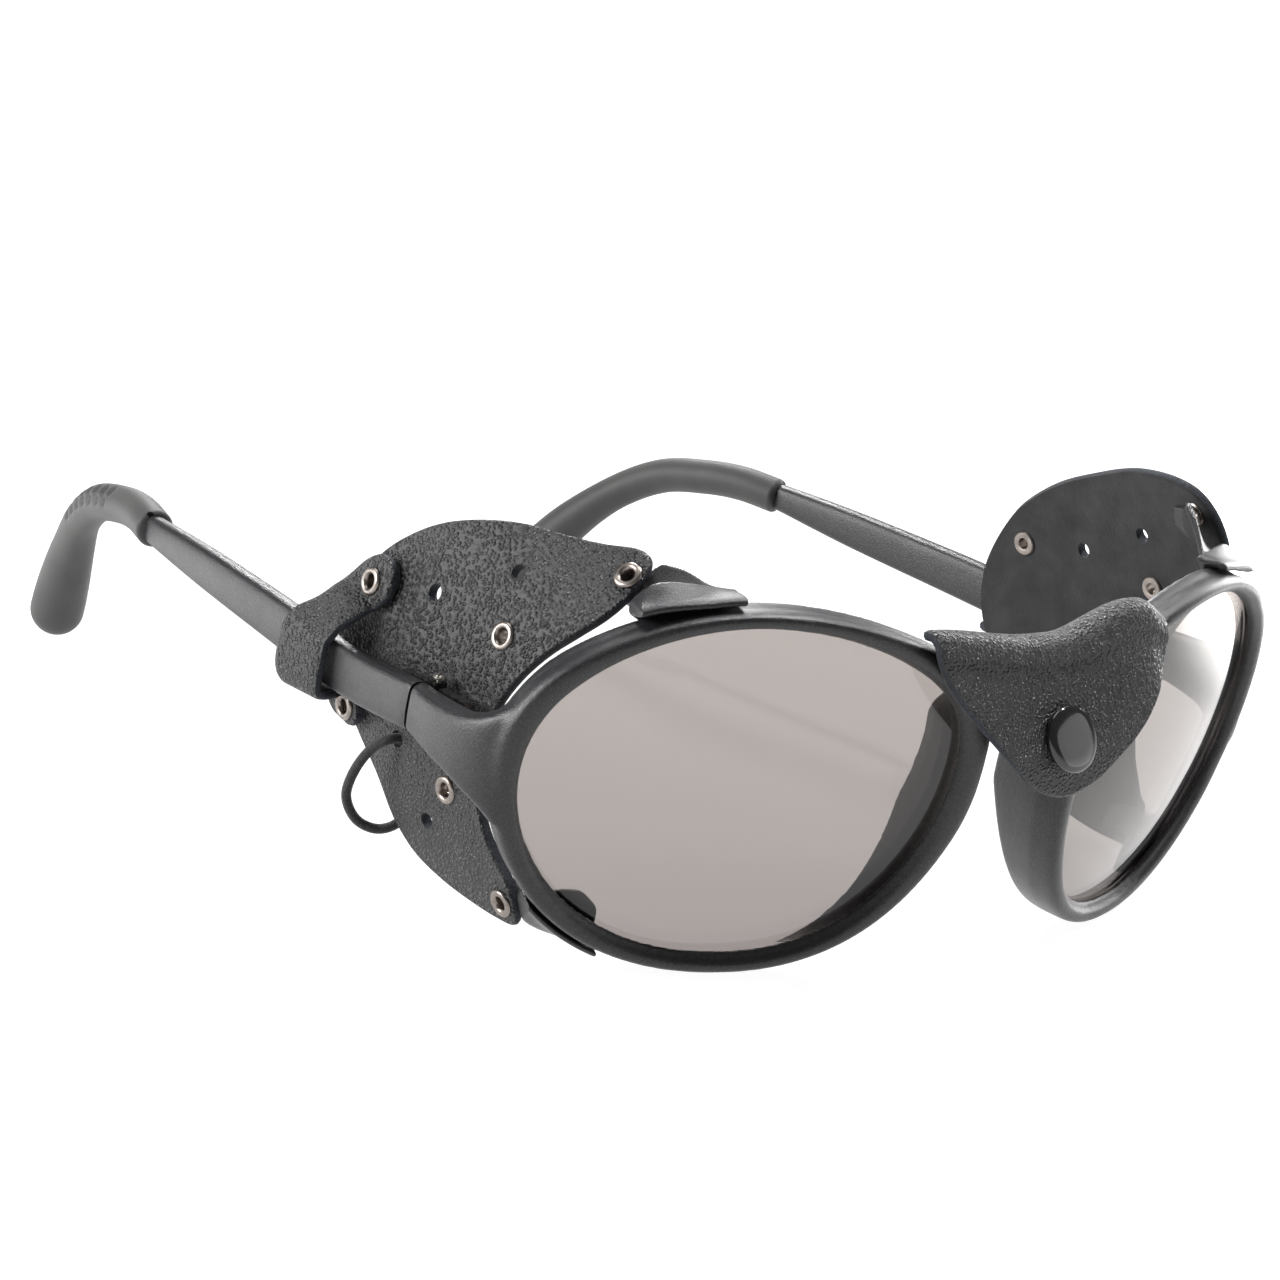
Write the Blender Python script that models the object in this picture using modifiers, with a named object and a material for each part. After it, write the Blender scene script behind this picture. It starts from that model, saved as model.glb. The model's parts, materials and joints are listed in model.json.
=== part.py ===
"""Glacier glasses with leather side shields, a leather nose cover and rubber ear hooks.

The glasses face -Y, their temples run to +Y, and +Z is up.  They stand on the two rims and
on the ends of the two ear hooks, which all touch z = 0, and they are symmetric about x = 0.
The wearer's right side is at -X.  The shapes are drawn with y = 0 at the middle of the
lenses, and a root empty then carries everything back until the origin is under the middle
of the whole pair.
"""
import math

import bmesh
import bpy
from mathutils import Matrix, Vector

MM = 0.001
GAP = 0.3 * MM                      # clearance between neighbouring pieces
MIDDLE_Y = 61.34 * MM               # middle of the whole depth, from the middle of the lenses

# --- driving dimensions -------------------------------------------------------------------
LENS_HALF_W = 28.8 * MM             # half width of the rim's front opening
LENS_HALF_H = 22.7 * MM             # half height of the rim's front opening
LENS_X = 38.6 * MM                  # middle of the lens from the plane of symmetry
LENS_Z = 24.65 * MM                 # middle of the lens above the ground
WRAP = math.radians(20.5)           # how far each rim turns back round the face
TILT = math.radians(7.2)            # how far the rims lean forward at the top
BASE_RADIUS = 250 * MM              # radius of the lens surface
LENS_THICK = 2.0 * MM

FACE_SIDE = 3.5 * MM                # width of the rim's front face at its sides
FACE_TOP = 1.9 * MM                 # and above and below the lens
SEAT = 1.1 * MM                     # how far the lens seat is cut into the rim
LIP = 1.0 * MM                      # thickness of the lip in front of the lens
RIM_FRONT = -1.0 * MM
RIM_BACK = 3.6 * MM
FLANGE_BACK = 10.8 * MM              # depth of the nasal flange

HINGE = Vector((62.8, 31.15, 27.5)) * MM      # middle of the left hinge pin
TEMPLE_HALF_T = 1.6 * MM
TEMPLE_HALF_H = 3.2 * MM
KNUCKLE_R = 1.0 * MM
PIN_R = 0.45 * MM
PIN_PLAY = 0.15 * MM
LEAF_THICK = 0.5 * MM               # the temple's leaf; the frame's one fills up to the lug

SLEEVE_R = 2.6 * MM
WIRE_R = 0.6 * MM
LEATHER = 1.4 * MM
CLIP_TAB = 2.6 * MM                 # how far a clip's tab shows inside the rim's opening

EYELET_R = 1.75 * MM
EYELET_HOLE_R = 0.8 * MM
EYELET_BARREL_R = 1.1 * MM
EYELET_RIM = 0.4 * MM
PUNCH_R = 0.9 * MM                  # plain holes in the leather
STRAP_LIFT = LEATHER + GAP          # from the shield's middle to the strap's middle

SNAP_CAP_R = 4.3 * MM
SNAP_DISC_R = 2.4 * MM              # socket and post
SNAP_SHANK_R = 0.9 * MM
STUD_SHANK_R = 0.6 * MM
STUD_DEPTH = 4.0 * MM               # from the front flap's middle back to the tongue's middle
FOLD = Vector((0, -8.0, 46.4)) * MM           # the line that the nose cover's flap lifts about
SNAP_Z = 34.4 * MM                  # middle of the press stud above the ground

ELASTIC_R = 0.65 * MM

SIDES = ((-1, "right"), (1, "left"))

# --- collections and materials ------------------------------------------------------------
for old in list(bpy.data.objects):
    bpy.data.objects.remove(old, do_unlink=True)


def collection(name):
    """A new collection in the scene."""
    made = bpy.data.collections.new(name)
    bpy.context.scene.collection.children.link(made)
    return made


PARTS = collection("glacier_glasses")
CUTTERS = collection("cutters")


def empty(name, place, parent=None):
    """An empty that carries other objects."""
    made = bpy.data.objects.new(name, None)
    made.location = place
    made.empty_display_size = 5 * MM
    made.parent = parent
    PARTS.objects.link(made)
    return made


ROOT = empty("glasses", (0, -MIDDLE_Y, 0))
TEMPLE_PIVOTS = {word: empty(f"{word}_temple_pivot", (side * HINGE.x, HINGE.y, HINGE.z), ROOT)
                 for side, word in SIDES}
FLAP_PIVOT = empty("nose_flap_pivot", FOLD, ROOT)


def carried(made, group=PARTS):
    """Link an object that is drawn in the lenses' frame, and hang it on the root."""
    group.objects.link(made)
    made.parent = ROOT
    if group is CUTTERS:
        made.hide_render = True
        made.display_type = "WIRE"
    return made


def turn_on(pivot, *pieces):
    """Hang finished pieces on the empty on their joint's axis."""
    for piece in pieces:
        piece.parent = pivot
        piece.location = -pivot.location


def material(name, colour, roughness, metallic=0.0, transmission=0.0):
    """A Principled material with one colour."""
    made = bpy.data.materials.new(name)
    made.use_nodes = True
    shader = made.node_tree.nodes["Principled BSDF"]
    shader.inputs["Base Color"].default_value = (*colour, 1)
    shader.inputs["Roughness"].default_value = roughness
    shader.inputs["Metallic"].default_value = metallic
    shader.inputs["Transmission Weight"].default_value = transmission
    return made


NYLON = material("black_nylon", (0.020, 0.020, 0.022), 0.45)
GLASS = material("brown_glass", (0.45, 0.40, 0.36), 0.03, transmission=0.8)
RUBBER = material("black_rubber", (0.030, 0.030, 0.032), 0.75)
SKIN = material("black_leather", (0.022, 0.022, 0.024), 0.55)
NICKEL = material("aged_nickel", (0.42, 0.36, 0.31), 0.35, metallic=1.0)
STEEL = material("steel", (0.55, 0.54, 0.52), 0.30, metallic=1.0)
LACQUER = material("black_lacquer", (0.015, 0.015, 0.016), 0.12)
ELASTIC = material("black_elastic", (0.018, 0.018, 0.019), 0.85)


# --- mesh helpers -------------------------------------------------------------------------
def finish(name, bm, look=None, group=PARTS):
    """Turn a bmesh into an object with outward faces."""
    bmesh.ops.recalc_face_normals(bm, faces=bm.faces)
    mesh = bpy.data.meshes.new(name)
    bm.to_mesh(mesh)
    bm.free()
    if look:
        mesh.materials.append(look)
    return carried(bpy.data.objects.new(name, mesh), group)


def loft(name, rings, look=None, group=PARTS, closed=False):
    """A closed body through rings of equally many points; closed joins the last to the first."""
    bm = bmesh.new()
    rows = [[bm.verts.new(point) for point in ring] for ring in rings]
    count = len(rows[0])
    pairs = list(zip(rows, rows[1:]))
    if closed:
        pairs.append((rows[-1], rows[0]))
    for low, high in pairs:
        for k in range(count):
            nxt = (k + 1) % count
            bm.faces.new((low[k], low[nxt], high[nxt], high[k]))
    if not closed:
        bm.faces.new(rows[0])
        bm.faces.new(rows[-1])
    bmesh.ops.triangulate(bm, faces=[f for f in bm.faces if len(f.verts) > 4])
    return finish(name, bm, look, group)


def cylinder(name, centre, axis, radius, length, look=None, group=PARTS, sides=24):
    """A cylinder of one length along an axis through its centre."""
    bm = bmesh.new()
    bmesh.ops.create_cone(bm, cap_ends=True, segments=sides, radius1=radius, radius2=radius,
                          depth=length)
    turn = Vector(axis).to_track_quat("Z", "Y").to_matrix().to_4x4()
    bmesh.ops.transform(bm, matrix=Matrix.Translation(centre) @ turn, verts=bm.verts)
    return finish(name, bm, look, group)


def box(name, low, high, look=None, group=PARTS):
    """A box between two corners."""
    low, high = Vector(low), Vector(high)
    bm = bmesh.new()
    bmesh.ops.create_cube(bm, size=1)
    size = high - low
    scale = Matrix.Diagonal((abs(size.x), abs(size.y), abs(size.z), 1))
    bmesh.ops.transform(bm, matrix=Matrix.Translation((low + high) / 2) @ scale, verts=bm.verts)
    return finish(name, bm, look, group)


def boolean(target, cutter, operation):
    """Add a Boolean modifier; the cutter moves to the cutters' collection."""
    step = target.modifiers.new(cutter.name, "BOOLEAN")
    step.operation = operation
    step.object = cutter
    step.solver = "EXACT"
    for group in cutter.users_collection:
        group.objects.unlink(cutter)
    CUTTERS.objects.link(cutter)
    cutter.hide_render = True
    cutter.display_type = "WIRE"


def turned(name, profile, centre, axis, look, steps=20):
    """A ring or a disc: a profile of (radius, height) turned round an axis."""
    bm = bmesh.new()
    verts = [bm.verts.new((r, 0, z)) for r, z in profile]
    edges = [bm.edges.new(pair) for pair in zip(verts, verts[1:])]
    if profile[0][0] > 0:
        edges.append(bm.edges.new((verts[-1], verts[0])))
    bmesh.ops.spin(bm, geom=verts + edges, cent=(0, 0, 0), axis=(0, 0, 1),
                   angle=math.tau, steps=steps, use_duplicate=False)
    bmesh.ops.remove_doubles(bm, verts=bm.verts, dist=1e-6)
    turn = Vector(axis).to_track_quat("Z", "Y").to_matrix().to_4x4()
    bmesh.ops.transform(bm, matrix=Matrix.Translation(centre) @ turn, verts=bm.verts)
    return finish(name, bm, look)


def wire(name, path, radius, look):
    """A round wire or cord along a path, with flat ends."""
    data = bpy.data.curves.new(name, "CURVE")
    data.dimensions = "3D"
    data.bevel_depth = radius
    data.bevel_resolution = 2
    data.use_fill_caps = True
    run = data.splines.new("POLY")
    run.points.add(len(path) - 1)
    for knot, place in zip(run.points, path):
        knot.co = (*place, 1)
    data.materials.append(look)
    return carried(bpy.data.objects.new(name, data))


def smooth(x, low, high):
    """0 below low, 1 above high, and a smooth step between them."""
    t = min(max((x - low) / (high - low), 0), 1)
    return t * t * (3 - 2 * t)


def spline(points, count):
    """Points along a Catmull-Rom curve through a list of points."""
    pts = [Vector(p) for p in points]
    pts = [2 * pts[0] - pts[1], *pts, 2 * pts[-1] - pts[-2]]
    spans = len(pts) - 3
    made = []
    for i in range(count):
        s = i / (count - 1) * spans
        k = min(int(s), spans - 1)
        t = s - k
        a, b, c, d = pts[k:k + 4]
        made.append(0.5 * (2 * b + (c - a) * t + (2 * a - 5 * b + 4 * c - d) * t * t
                           + (3 * b - a - 3 * c + d) * t ** 3))
    return made


# --- the rims' own surface ----------------------------------------------------------------
def outline(theta, grow_w=0.0, grow_h=0.0):
    """(u, v) on the opening's oval: u outward, v up.  Its ends lie higher than its middle."""
    c, s = math.cos(theta), math.sin(theta)
    power = 2.0 if c > 0 else 2.15
    u = (LENS_HALF_W + grow_w) * math.copysign(abs(c) ** (2 / power), c)
    v = (LENS_HALF_H + grow_h) * math.copysign(abs(s) ** (2 / power), s)
    lift = (1.8 if c > 0 else 4.5) * MM * (u / LENS_HALF_W) ** 4
    return u, v + lift - 0.5 * MM


def on_rim(side, u, n, v):
    """The world point at (u, v) on the lens surface, n behind it."""
    n = n + (u * u + v * v) / (2 * BASE_RADIUS)
    back = n * math.cos(TILT) - v * math.sin(TILT)
    up = v * math.cos(TILT) + n * math.sin(TILT)
    x = u * math.cos(WRAP) - back * math.sin(WRAP)
    y = u * math.sin(WRAP) + back * math.cos(WRAP)
    return Vector((side * (LENS_X + x), y, LENS_Z + up))


def rim_back(u, v):
    """Depth of the rim: the nasal side grows into a flange that fades towards the bottom."""
    slope = 12.6 * MM + 0.34 * v
    deep = min(max(slope, RIM_BACK), FLANGE_BACK)
    nasal = smooth(-u, 0, 14 * MM) * (1 - smooth(v, 6 * MM, 15 * MM))
    return RIM_BACK + (deep - RIM_BACK) * nasal


def face_width(theta):
    """Width of the rim's face at its sides: the lower nasal part is broader."""
    return FACE_SIDE + 0.8 * MM * smooth(-math.cos(theta), 0.3, 0.8) * smooth(
        -math.sin(theta), 0, 0.4)


def rim_section(side, theta):
    """The rim's section: a lip in front, the lens seat behind it and the outer wall."""
    def at(share, n):
        u, v = outline(theta, share * face_width(theta), share * FACE_TOP)
        lean = max(n - RIM_BACK, 0) * math.tan(WRAP)
        return on_rim(side, u + lean, n, v)
    seat_u, seat_v = outline(theta, SEAT, SEAT)
    back = rim_back(*outline(theta))
    lean = (back - RIM_BACK) * math.tan(WRAP)
    return [at(0, LIP), at(0, -0.5 * MM), at(0.2, RIM_FRONT), at(0.8, RIM_FRONT),
            at(1, -0.4 * MM), at(1, RIM_BACK - 0.6 * MM), at(1, back - 0.4 * MM), at(0.9, back),
            on_rim(side, seat_u + lean, back, seat_v),
            on_rim(side, seat_u, RIM_BACK - 0.1 * MM, seat_v),
            on_rim(side, seat_u, LIP, seat_v)]


def section_box(centre, side_way, half_side, half_up, chamfer):
    """A chamfered rectangle across a path: side_way is horizontal, the other way is +Z."""
    up = Vector((0, 0, 1))
    corners = [(-1, -1), (1, -1), (1, 1), (-1, 1)]
    ring = []
    for k, (a, b) in enumerate(corners):
        first = (a * half_side, b * (half_up - chamfer))
        second = (a * (half_side - chamfer), b * half_up)
        order = (second, first) if k % 2 else (first, second)
        ring += [centre + side_way * p + up * q for p, q in order]
    return ring


LUG = ((66.1, 13.4, 26.3, 8.0, 1.9, (0.60, -0.80)), (67.2, 15.6, 26.4, 6.0, 2.0, (0.80, -0.60)),
       (67.5, 19.0, 26.6, 4.5, 2.1, (0.99, -0.05)), (67.0, 23.5, 26.9, 3.7, 2.1, (0.99, 0.12)),
       (66.3, 28.0, 27.2, 3.3, 1.8, (0.99, 0.12)), (65.9, 31.0, 27.5, 3.2, 1.6, (1.00, 0.00)))
TEMPLE = ((65.9, 31.3, 27.5, 3.2, 1.6), (63.9, 45.0, 26.4, 3.2, 1.6), (62.7, 55.0, 26.6, 3.2, 1.6),
          (61.5, 65.0, 27.1, 3.1, 1.6), (59.3, 84.0, 27.8, 2.7, 1.5), (57.7, 98.0, 28.3, 2.0, 1.4))


def front_frame():
    """Both rims, their lugs and the bridge as one moulding, mirrored at the middle."""
    steps = 52
    rim = loft("front_frame", [rim_section(1, math.tau * i / steps) for i in range(steps)],
               NYLON, closed=True)
    rings = []
    for x, y, z, half_h, half_t, (wx, wy) in LUG:
        way = Vector((wx, wy, 0)).normalized()
        rings.append(section_box(Vector((x, y, z)) * MM, way, half_t * MM, half_h * MM,
                                 0.7 * MM))
    boolean(rim, loft("lug", rings, group=CUTTERS), "UNION")
    boolean(rim, bridge(), "UNION")
    ground = box("ground_cut", (0, -30 * MM, -5 * MM), (90 * MM, 40 * MM, 0), group=CUTTERS)
    boolean(rim, ground, "DIFFERENCE")
    half = rim.modifiers.new("other half", "MIRROR")
    half.use_bisect_axis[0] = True
    half.use_bisect_flip_axis[0] = False
    half.merge_threshold = 0.00005
    return rim


def bridge():
    """The saddle bar between the rims; it starts inside the rims' nasal walls."""
    rings = []
    for x, y, z, size in ((-3, -8.6, 41.2, 1), (3, -8.6, 41.2, 1), (7.6, -8.3, 40.6, 1),
                          (11.1, -7.4, 39.8, 0.45)):
        centre = Vector((x, y, z)) * MM
        rings.append([centre + Vector((0, 2.0 * math.cos(a), 2.6 * math.sin(a))) * MM * size
                      for a in (math.tau * (k + 0.5) / 10 for k in range(10))])
    return loft("bridge", rings, group=CUTTERS)


def lens(side, word):
    """A curved glass in the rim's seat."""
    edge = SEAT - GAP
    front, back = LIP + GAP, LIP + GAP + LENS_THICK
    bm = bmesh.new()
    steps = 36
    shells = []
    for depth in (front, back):
        rows = []
        for share in (1.0, 0.55):
            ring = []
            for i in range(steps):
                u, v = outline(math.tau * i / steps, edge, edge)
                ring.append(bm.verts.new(on_rim(side, u * share, depth, v * share)))
            rows.append(ring)
        middle = bm.verts.new(on_rim(side, 0, depth, 0))
        for outer, inner in zip(rows, rows[1:]):
            for k in range(steps):
                nxt = (k + 1) % steps
                bm.faces.new((outer[k], outer[nxt], inner[nxt], inner[k]))
        for k in range(steps):
            bm.faces.new((rows[-1][k], rows[-1][(k + 1) % steps], middle))
        shells.append(rows[0])
    for k in range(steps):
        nxt = (k + 1) % steps
        bm.faces.new((shells[0][k], shells[0][nxt], shells[1][nxt], shells[1][k]))
    return finish(f"{word}_lens", bm, GLASS)


# --- temples and ear hooks ----------------------------------------------------------------
SLEEVE = ((57.5, 98.8, 28.35), (55.6, 105.0, 28.6), (53.9, 111.2, 27.8), (52.2, 118.8, 25.7),
          (49.8, 125.5, 21.3), (46.8, 131.0, 15.2), (44.6, 135.0, 8.9), (43.2, 137.6, 3.7))


def temple(side, word):
    """The blade from the hinge to the ear hook, bored at its end for the core wire."""
    rings = []
    for x, y, z, half_h, half_t in TEMPLE:
        centre = Vector((side * x, y, z)) * MM
        rings.append(section_box(centre, Vector((1, 0, 0)), half_t * MM, half_h * MM, 0.6 * MM))
    blade = loft(f"{word}_temple", rings, NYLON)
    bore = cylinder(f"{word}_bore", wire_point(side, 0.0), wire_way(side), WIRE_R + GAP,
                    10 * MM, group=CUTTERS, sides=16)
    boolean(blade, bore, "DIFFERENCE")
    return blade


def wire_way(side):
    """The direction of the core wire where it enters the blade."""
    first, second = Vector(SLEEVE[0]), Vector(SLEEVE[1])
    way = (second - first).normalized()
    return Vector((side * way.x, way.y, way.z))


def wire_point(side, along):
    """A point on the straight stretch of the core wire, along from the sleeve's mouth."""
    start = Vector((side * SLEEVE[0][0], SLEEVE[0][1], SLEEVE[0][2])) * MM
    return start + wire_way(side) * along


def tube_rings(path, radii, sides):
    """Round sections across a path that never twist."""
    rings = []
    across = None
    for k, point in enumerate(path):
        way = (path[min(k + 1, len(path) - 1)] - path[max(k - 1, 0)]).normalized()
        across = (across or Vector((0, 0, 1)))
        across = (across - way * across.dot(way)).normalized()
        other = way.cross(across)
        rings.append([point + (across * math.cos(a) + other * math.sin(a)) * radii[k]
                      for a in (math.tau * j / sides for j in range(sides))])
    return rings


def ear_sleeve(side, word):
    """The rubber hook: a tube that is open at its mouth and swells into a bulb at its end."""
    path = [Vector((side * p.x, p.y, p.z)) * MM for p in spline(SLEEVE, 15)]
    tail = (path[-1] - path[-2]).normalized()
    radii = []
    for k in range(len(path)):
        share = k / (len(path) - 1)
        radii.append(SLEEVE_R + 1.25 * MM * smooth(share, 0.55, 1.0))
    bulb = radii[-1]
    cap = [(0.45, 0.89), (0.8, 0.6), (0.97, 0.25)]
    outer_path = path + [path[-1] + tail * bulb * step for step, _ in cap]
    outer_radii = radii + [bulb * size for _, size in cap]
    outer = tube_rings(outer_path, outer_radii, 12)
    inner = tube_rings(path[:10], [WIRE_R + GAP] * 10, 12)
    rings = list(reversed(outer)) + inner
    sleeve = loft(f"{word}_ear_sleeve", rings, RUBBER)
    ground = box(f"{word}_tip_cut", (side * 30 * MM, 120 * MM, -8 * MM),
                 (side * 60 * MM, 150 * MM, 0), group=CUTTERS)
    boolean(sleeve, ground, "DIFFERENCE")
    return sleeve


def core_wire(side, word):
    """The bendable wire from the blade's end into the ear sleeve."""
    path = [Vector((side * p.x, p.y, p.z)) * MM for p in spline(SLEEVE, 15)][:9]
    path.insert(0, wire_point(side, -4 * MM))
    return wire(f"{word}_core_wire", path, WIRE_R, STEEL)


# --- hinges -------------------------------------------------------------------------------
KNUCKLES = (3.0, 1.0, -1.0, -3.0)   # heights of the knuckles' ends from the pin's middle, mm


def hinge_point(side, x, y, z):
    """A point given from the middle of the hinge pin, x outward."""
    return Vector((side * (HINGE.x + x), HINGE.y + y, HINGE.z + z))


def hinge_leaf(side, name, spans, plate_low, plate_high, thick):
    """A plate with one or two knuckles, joined by tangent tabs and bored for the pin."""
    def block(label, low, high):
        return box(label, hinge_point(side, *low), hinge_point(side, *high), STEEL)
    plate_in = -0.05 * MM
    half_h = 2.6 * MM
    plate = block(name, (plate_in, plate_low, -half_h), (plate_in + thick, plate_high, half_h))
    reach = plate_low if plate_low > 0 else plate_high
    for k, (low, high) in enumerate(spans):
        tab = block(f"{name}_tab_{k}", (plate_in, min(0, reach * 1.2), low),
                    (plate_in + LEAF_THICK, max(0, reach * 1.2), high))
        knuckle = cylinder(f"{name}_knuckle_{k}", hinge_point(side, 0, 0, (low + high) / 2),
                           (0, 0, 1), KNUCKLE_R, high - low, sides=16)
        boolean(plate, tab, "UNION")
        boolean(plate, knuckle, "UNION")
    bore = cylinder(f"{name}_bore", hinge_point(side, 0, 0, 0), (0, 0, 1), PIN_R + PIN_PLAY,
                    12 * MM, group=CUTTERS, sides=12)
    boolean(plate, bore, "DIFFERENCE")
    return plate


def hinge(side, word):
    """The frame's leaf has the middle knuckle; the temple's, which is returned, the outer two."""
    top, upper, lower, bottom = (h * MM for h in KNUCKLES)
    hinge_leaf(side, f"{word}_hinge_frame_leaf", ((lower + GAP / 2, upper - GAP / 2),),
               -6.5 * MM, -1.5 * MM, 2.5 * LEAF_THICK)
    moving = hinge_leaf(side, f"{word}_hinge_temple_leaf",
                        ((bottom, lower - GAP / 2), (upper + GAP / 2, top)), 1.5 * MM, 5.8 * MM,
                        LEAF_THICK)
    head, shank = top + GAP, bottom - 0.4 * MM
    profile = [(0, shank), (PIN_R, shank), (PIN_R, head), (0.9 * MM, head),
               (0.9 * MM, head + 0.35 * MM), (0.6 * MM, head + 0.6 * MM), (0, head + 0.6 * MM)]
    turned(f"{word}_hinge_screw", profile, hinge_point(side, 0, 0, 0), (0, 0, 1), STEEL, 14)
    return moving


# --- leather ------------------------------------------------------------------------------
# the right leather curls in over its rim, and the left one stands up nearly straight
CURL = {-1: 0.2, 1: 0.03}


def shield_x(side, y, z):
    """How far out the middle of the side leather lies."""
    bow = (z - 26.3 * MM) ** 2 / (120 * MM)
    curl = CURL[side] * max(0, 36 * MM - y) * max(0, (z - 26.3 * MM) / (23 * MM)) ** 3
    return 60.3 * MM - bow - curl - 0.1 * max(0, y - 40 * MM)


def shield_frame(side, y, z):
    """The point on the leather's middle at (y, z) and its outward normal."""
    step = 0.1 * MM
    slope_y = (shield_x(side, y + step, z) - shield_x(side, y - step, z)) / (2 * step)
    slope_z = (shield_x(side, y, z + step) - shield_x(side, y, z - step)) / (2 * step)
    point = Vector((side * shield_x(side, y, z), y, z))
    return point, Vector((side, -slope_y, -slope_z)).normalized()


# the leather's outline from the side: its top edge from front to rear, then the rest
SHIELD_TOP = {-1: ((11.0, 51.6), (14.6, 51.8), (19.1, 51.2), (24.6, 50.8), (30.3, 50.5),
                   (36.0, 49.3), (42.0, 47.0), (47.0, 44.0), (51.0, 40.5)),
              1: ((12.6, 53.0), (15.4, 55.2), (20.0, 55.7), (26.0, 54.9), (31.0, 53.4),
                  (36.0, 51.3), (42.0, 48.4), (47.0, 45.0), (51.0, 41.2))}
SHIELD_REST = ((54.2, 36.0), (55.8, 31.0), (55.4, 26.0), (53.0, 21.5), (48.5, 17.5),
               (44.0, 13.5), (40.5, 9.0), (36.5, 5.6), (31.0, 3.8), (25.0, 3.0), (20.4, 2.8),
               (17.4, 3.2), (16.9, 5.6), (17.8, 8.4), (20.2, 11.0), (22.4, 14.2), (23.8, 18.4),
               (24.0, 24.0), (23.4, 29.5), (21.5, 34.2), (18.6, 38.4), (15.4, 41.8),
               (12.6, 44.6), (11.4, 47.0))
EYELETS = {"strap_upper": (49.0, 37.0), "strap_lower": (49.4, 21.0), "mid_upper": (24.7, 38.1),
           "mid_lower": (29.5, 16.8), "clip_upper": (12.8, 49.0), "clip_lower": (19.1, 5.6)}
LEFT_CLIP_UPPER = (15.8, 52.2)


def eyelet_places(side):
    """Where the eyelets sit in the side leather, as (y, z) in mm."""
    return {**EYELETS, "clip_upper": LEFT_CLIP_UPPER} if side > 0 else EYELETS


PUNCHED = ((38.3, 39.3), (26.9, 45.3), (33.4, 11.2), (39.7, 19.9))


def leather_cutter(side, name, y, z, radius):
    """A drill through the leather at (y, z), square to it."""
    point, normal = shield_frame(side, y * MM, z * MM)
    return cylinder(name, point, normal, radius, 6 * MM, group=CUTTERS, sides=12)


def side_shield(side, word):
    """The leather wall behind the rim: a curved sheet cut to its outline and punched."""
    bm = bmesh.new()
    ys = [7 + 5.2 * i for i in range(11)]
    zs = [-1 + 4.5 * i for i in range(14)]
    grid = [[bm.verts.new((side * shield_x(side, y * MM, z * MM), y * MM, z * MM))
             for z in zs] for y in ys]
    for a, b in zip(grid, grid[1:]):
        for k in range(len(zs) - 1):
            bm.faces.new((a[k], a[k + 1], b[k + 1], b[k]))
    sheet = finish(f"{word}_side_shield", bm, SKIN)
    thick = sheet.modifiers.new("leather", "SOLIDIFY")
    thick.thickness = LEATHER
    thick.offset = 0
    outer = SHIELD_TOP[side] + SHIELD_REST
    prism = [[Vector((side * x, y * MM, z * MM)) for y, z in outer] for x in (30 * MM, 80 * MM)]
    boolean(sheet, loft(f"{word}_shield_outline", prism, group=CUTTERS), "INTERSECT")
    for label, (y, z) in eyelet_places(side).items():
        boolean(sheet, leather_cutter(side, f"{word}_{label}_hole", y, z,
                                      EYELET_BARREL_R + GAP), "DIFFERENCE")
    for k, (y, z) in enumerate(PUNCHED):
        boolean(sheet, leather_cutter(side, f"{word}_punch_{k}", y, z, PUNCH_R), "DIFFERENCE")
    return sheet


def eyelet(side, word, label):
    """A metal ring through the leather, with a flange on each face."""
    y, z = eyelet_places(side)[label]
    point, normal = shield_frame(side, y * MM, z * MM)
    inner = LEATHER / 2 + GAP
    outer = inner + (LEATHER + GAP if label.startswith("strap") else 0)
    profile = [(EYELET_HOLE_R, -inner - EYELET_RIM), (EYELET_R, -inner - EYELET_RIM),
               (EYELET_R, -inner), (EYELET_BARREL_R, -inner), (EYELET_BARREL_R, outer),
               (EYELET_R, outer), (EYELET_R, outer + EYELET_RIM),
               (EYELET_HOLE_R, outer + EYELET_RIM)]
    return turned(f"{word}_{label}_eyelet", profile, point, normal, NICKEL, 10)


# middles and outward normals of the strap where it goes round the outside of the temple
STRAP_OVER = ((62.3, 51.8, 33.8, 0.80, 0.60), (63.9, 53.0, 31.8, 0.70, 0.72),
              (65.7, 54.0, 29.6, 0.94, 0.34), (66.1, 54.2, 26.8, 1.0, 0.0),
              (66.1, 54.2, 24.0, 0.98, -0.20), (65.4, 54.1, 22.3, 0.70, -0.70),
              (63.3, 54.0, 21.8, 0.10, -1.0), (61.6, 54.2, 21.8, 0.0, -1.0),
              (60.6, 54.3, 21.8, 0.0, -1.0))
STRAP_WIDTHS = (1.6, 3.0, 3.3, 3.4, 3.5, 3.8, 4.3, 4.4, 4.3, 3.9, 3.1, 2.6, 2.6)
TAB_WIDTHS = (1.8, 2.2, 2.2, 2.1, 1.3)


def on_leather(side, places):
    """Middles and outward normals of a band that lies on the side leather."""
    ways = []
    for y, z in places:
        point, normal = shield_frame(side, y * MM, z * MM)
        ways.append((point + normal * STRAP_LIFT, normal))
    return ways


def band(name, ways, widths):
    """A flat leather band along its middles, across their normals."""
    rings = []
    for k, (middle, normal) in enumerate(ways):
        along = ways[min(k + 1, len(ways) - 1)][0] - ways[max(k - 1, 0)][0]
        across = along.cross(normal).normalized() * widths[k] * MM
        half = normal * LEATHER / 2
        rings.append([middle - across - half, middle + across - half,
                      middle + across + half, middle - across + half])
    return loft(name, rings, SKIN)


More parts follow.
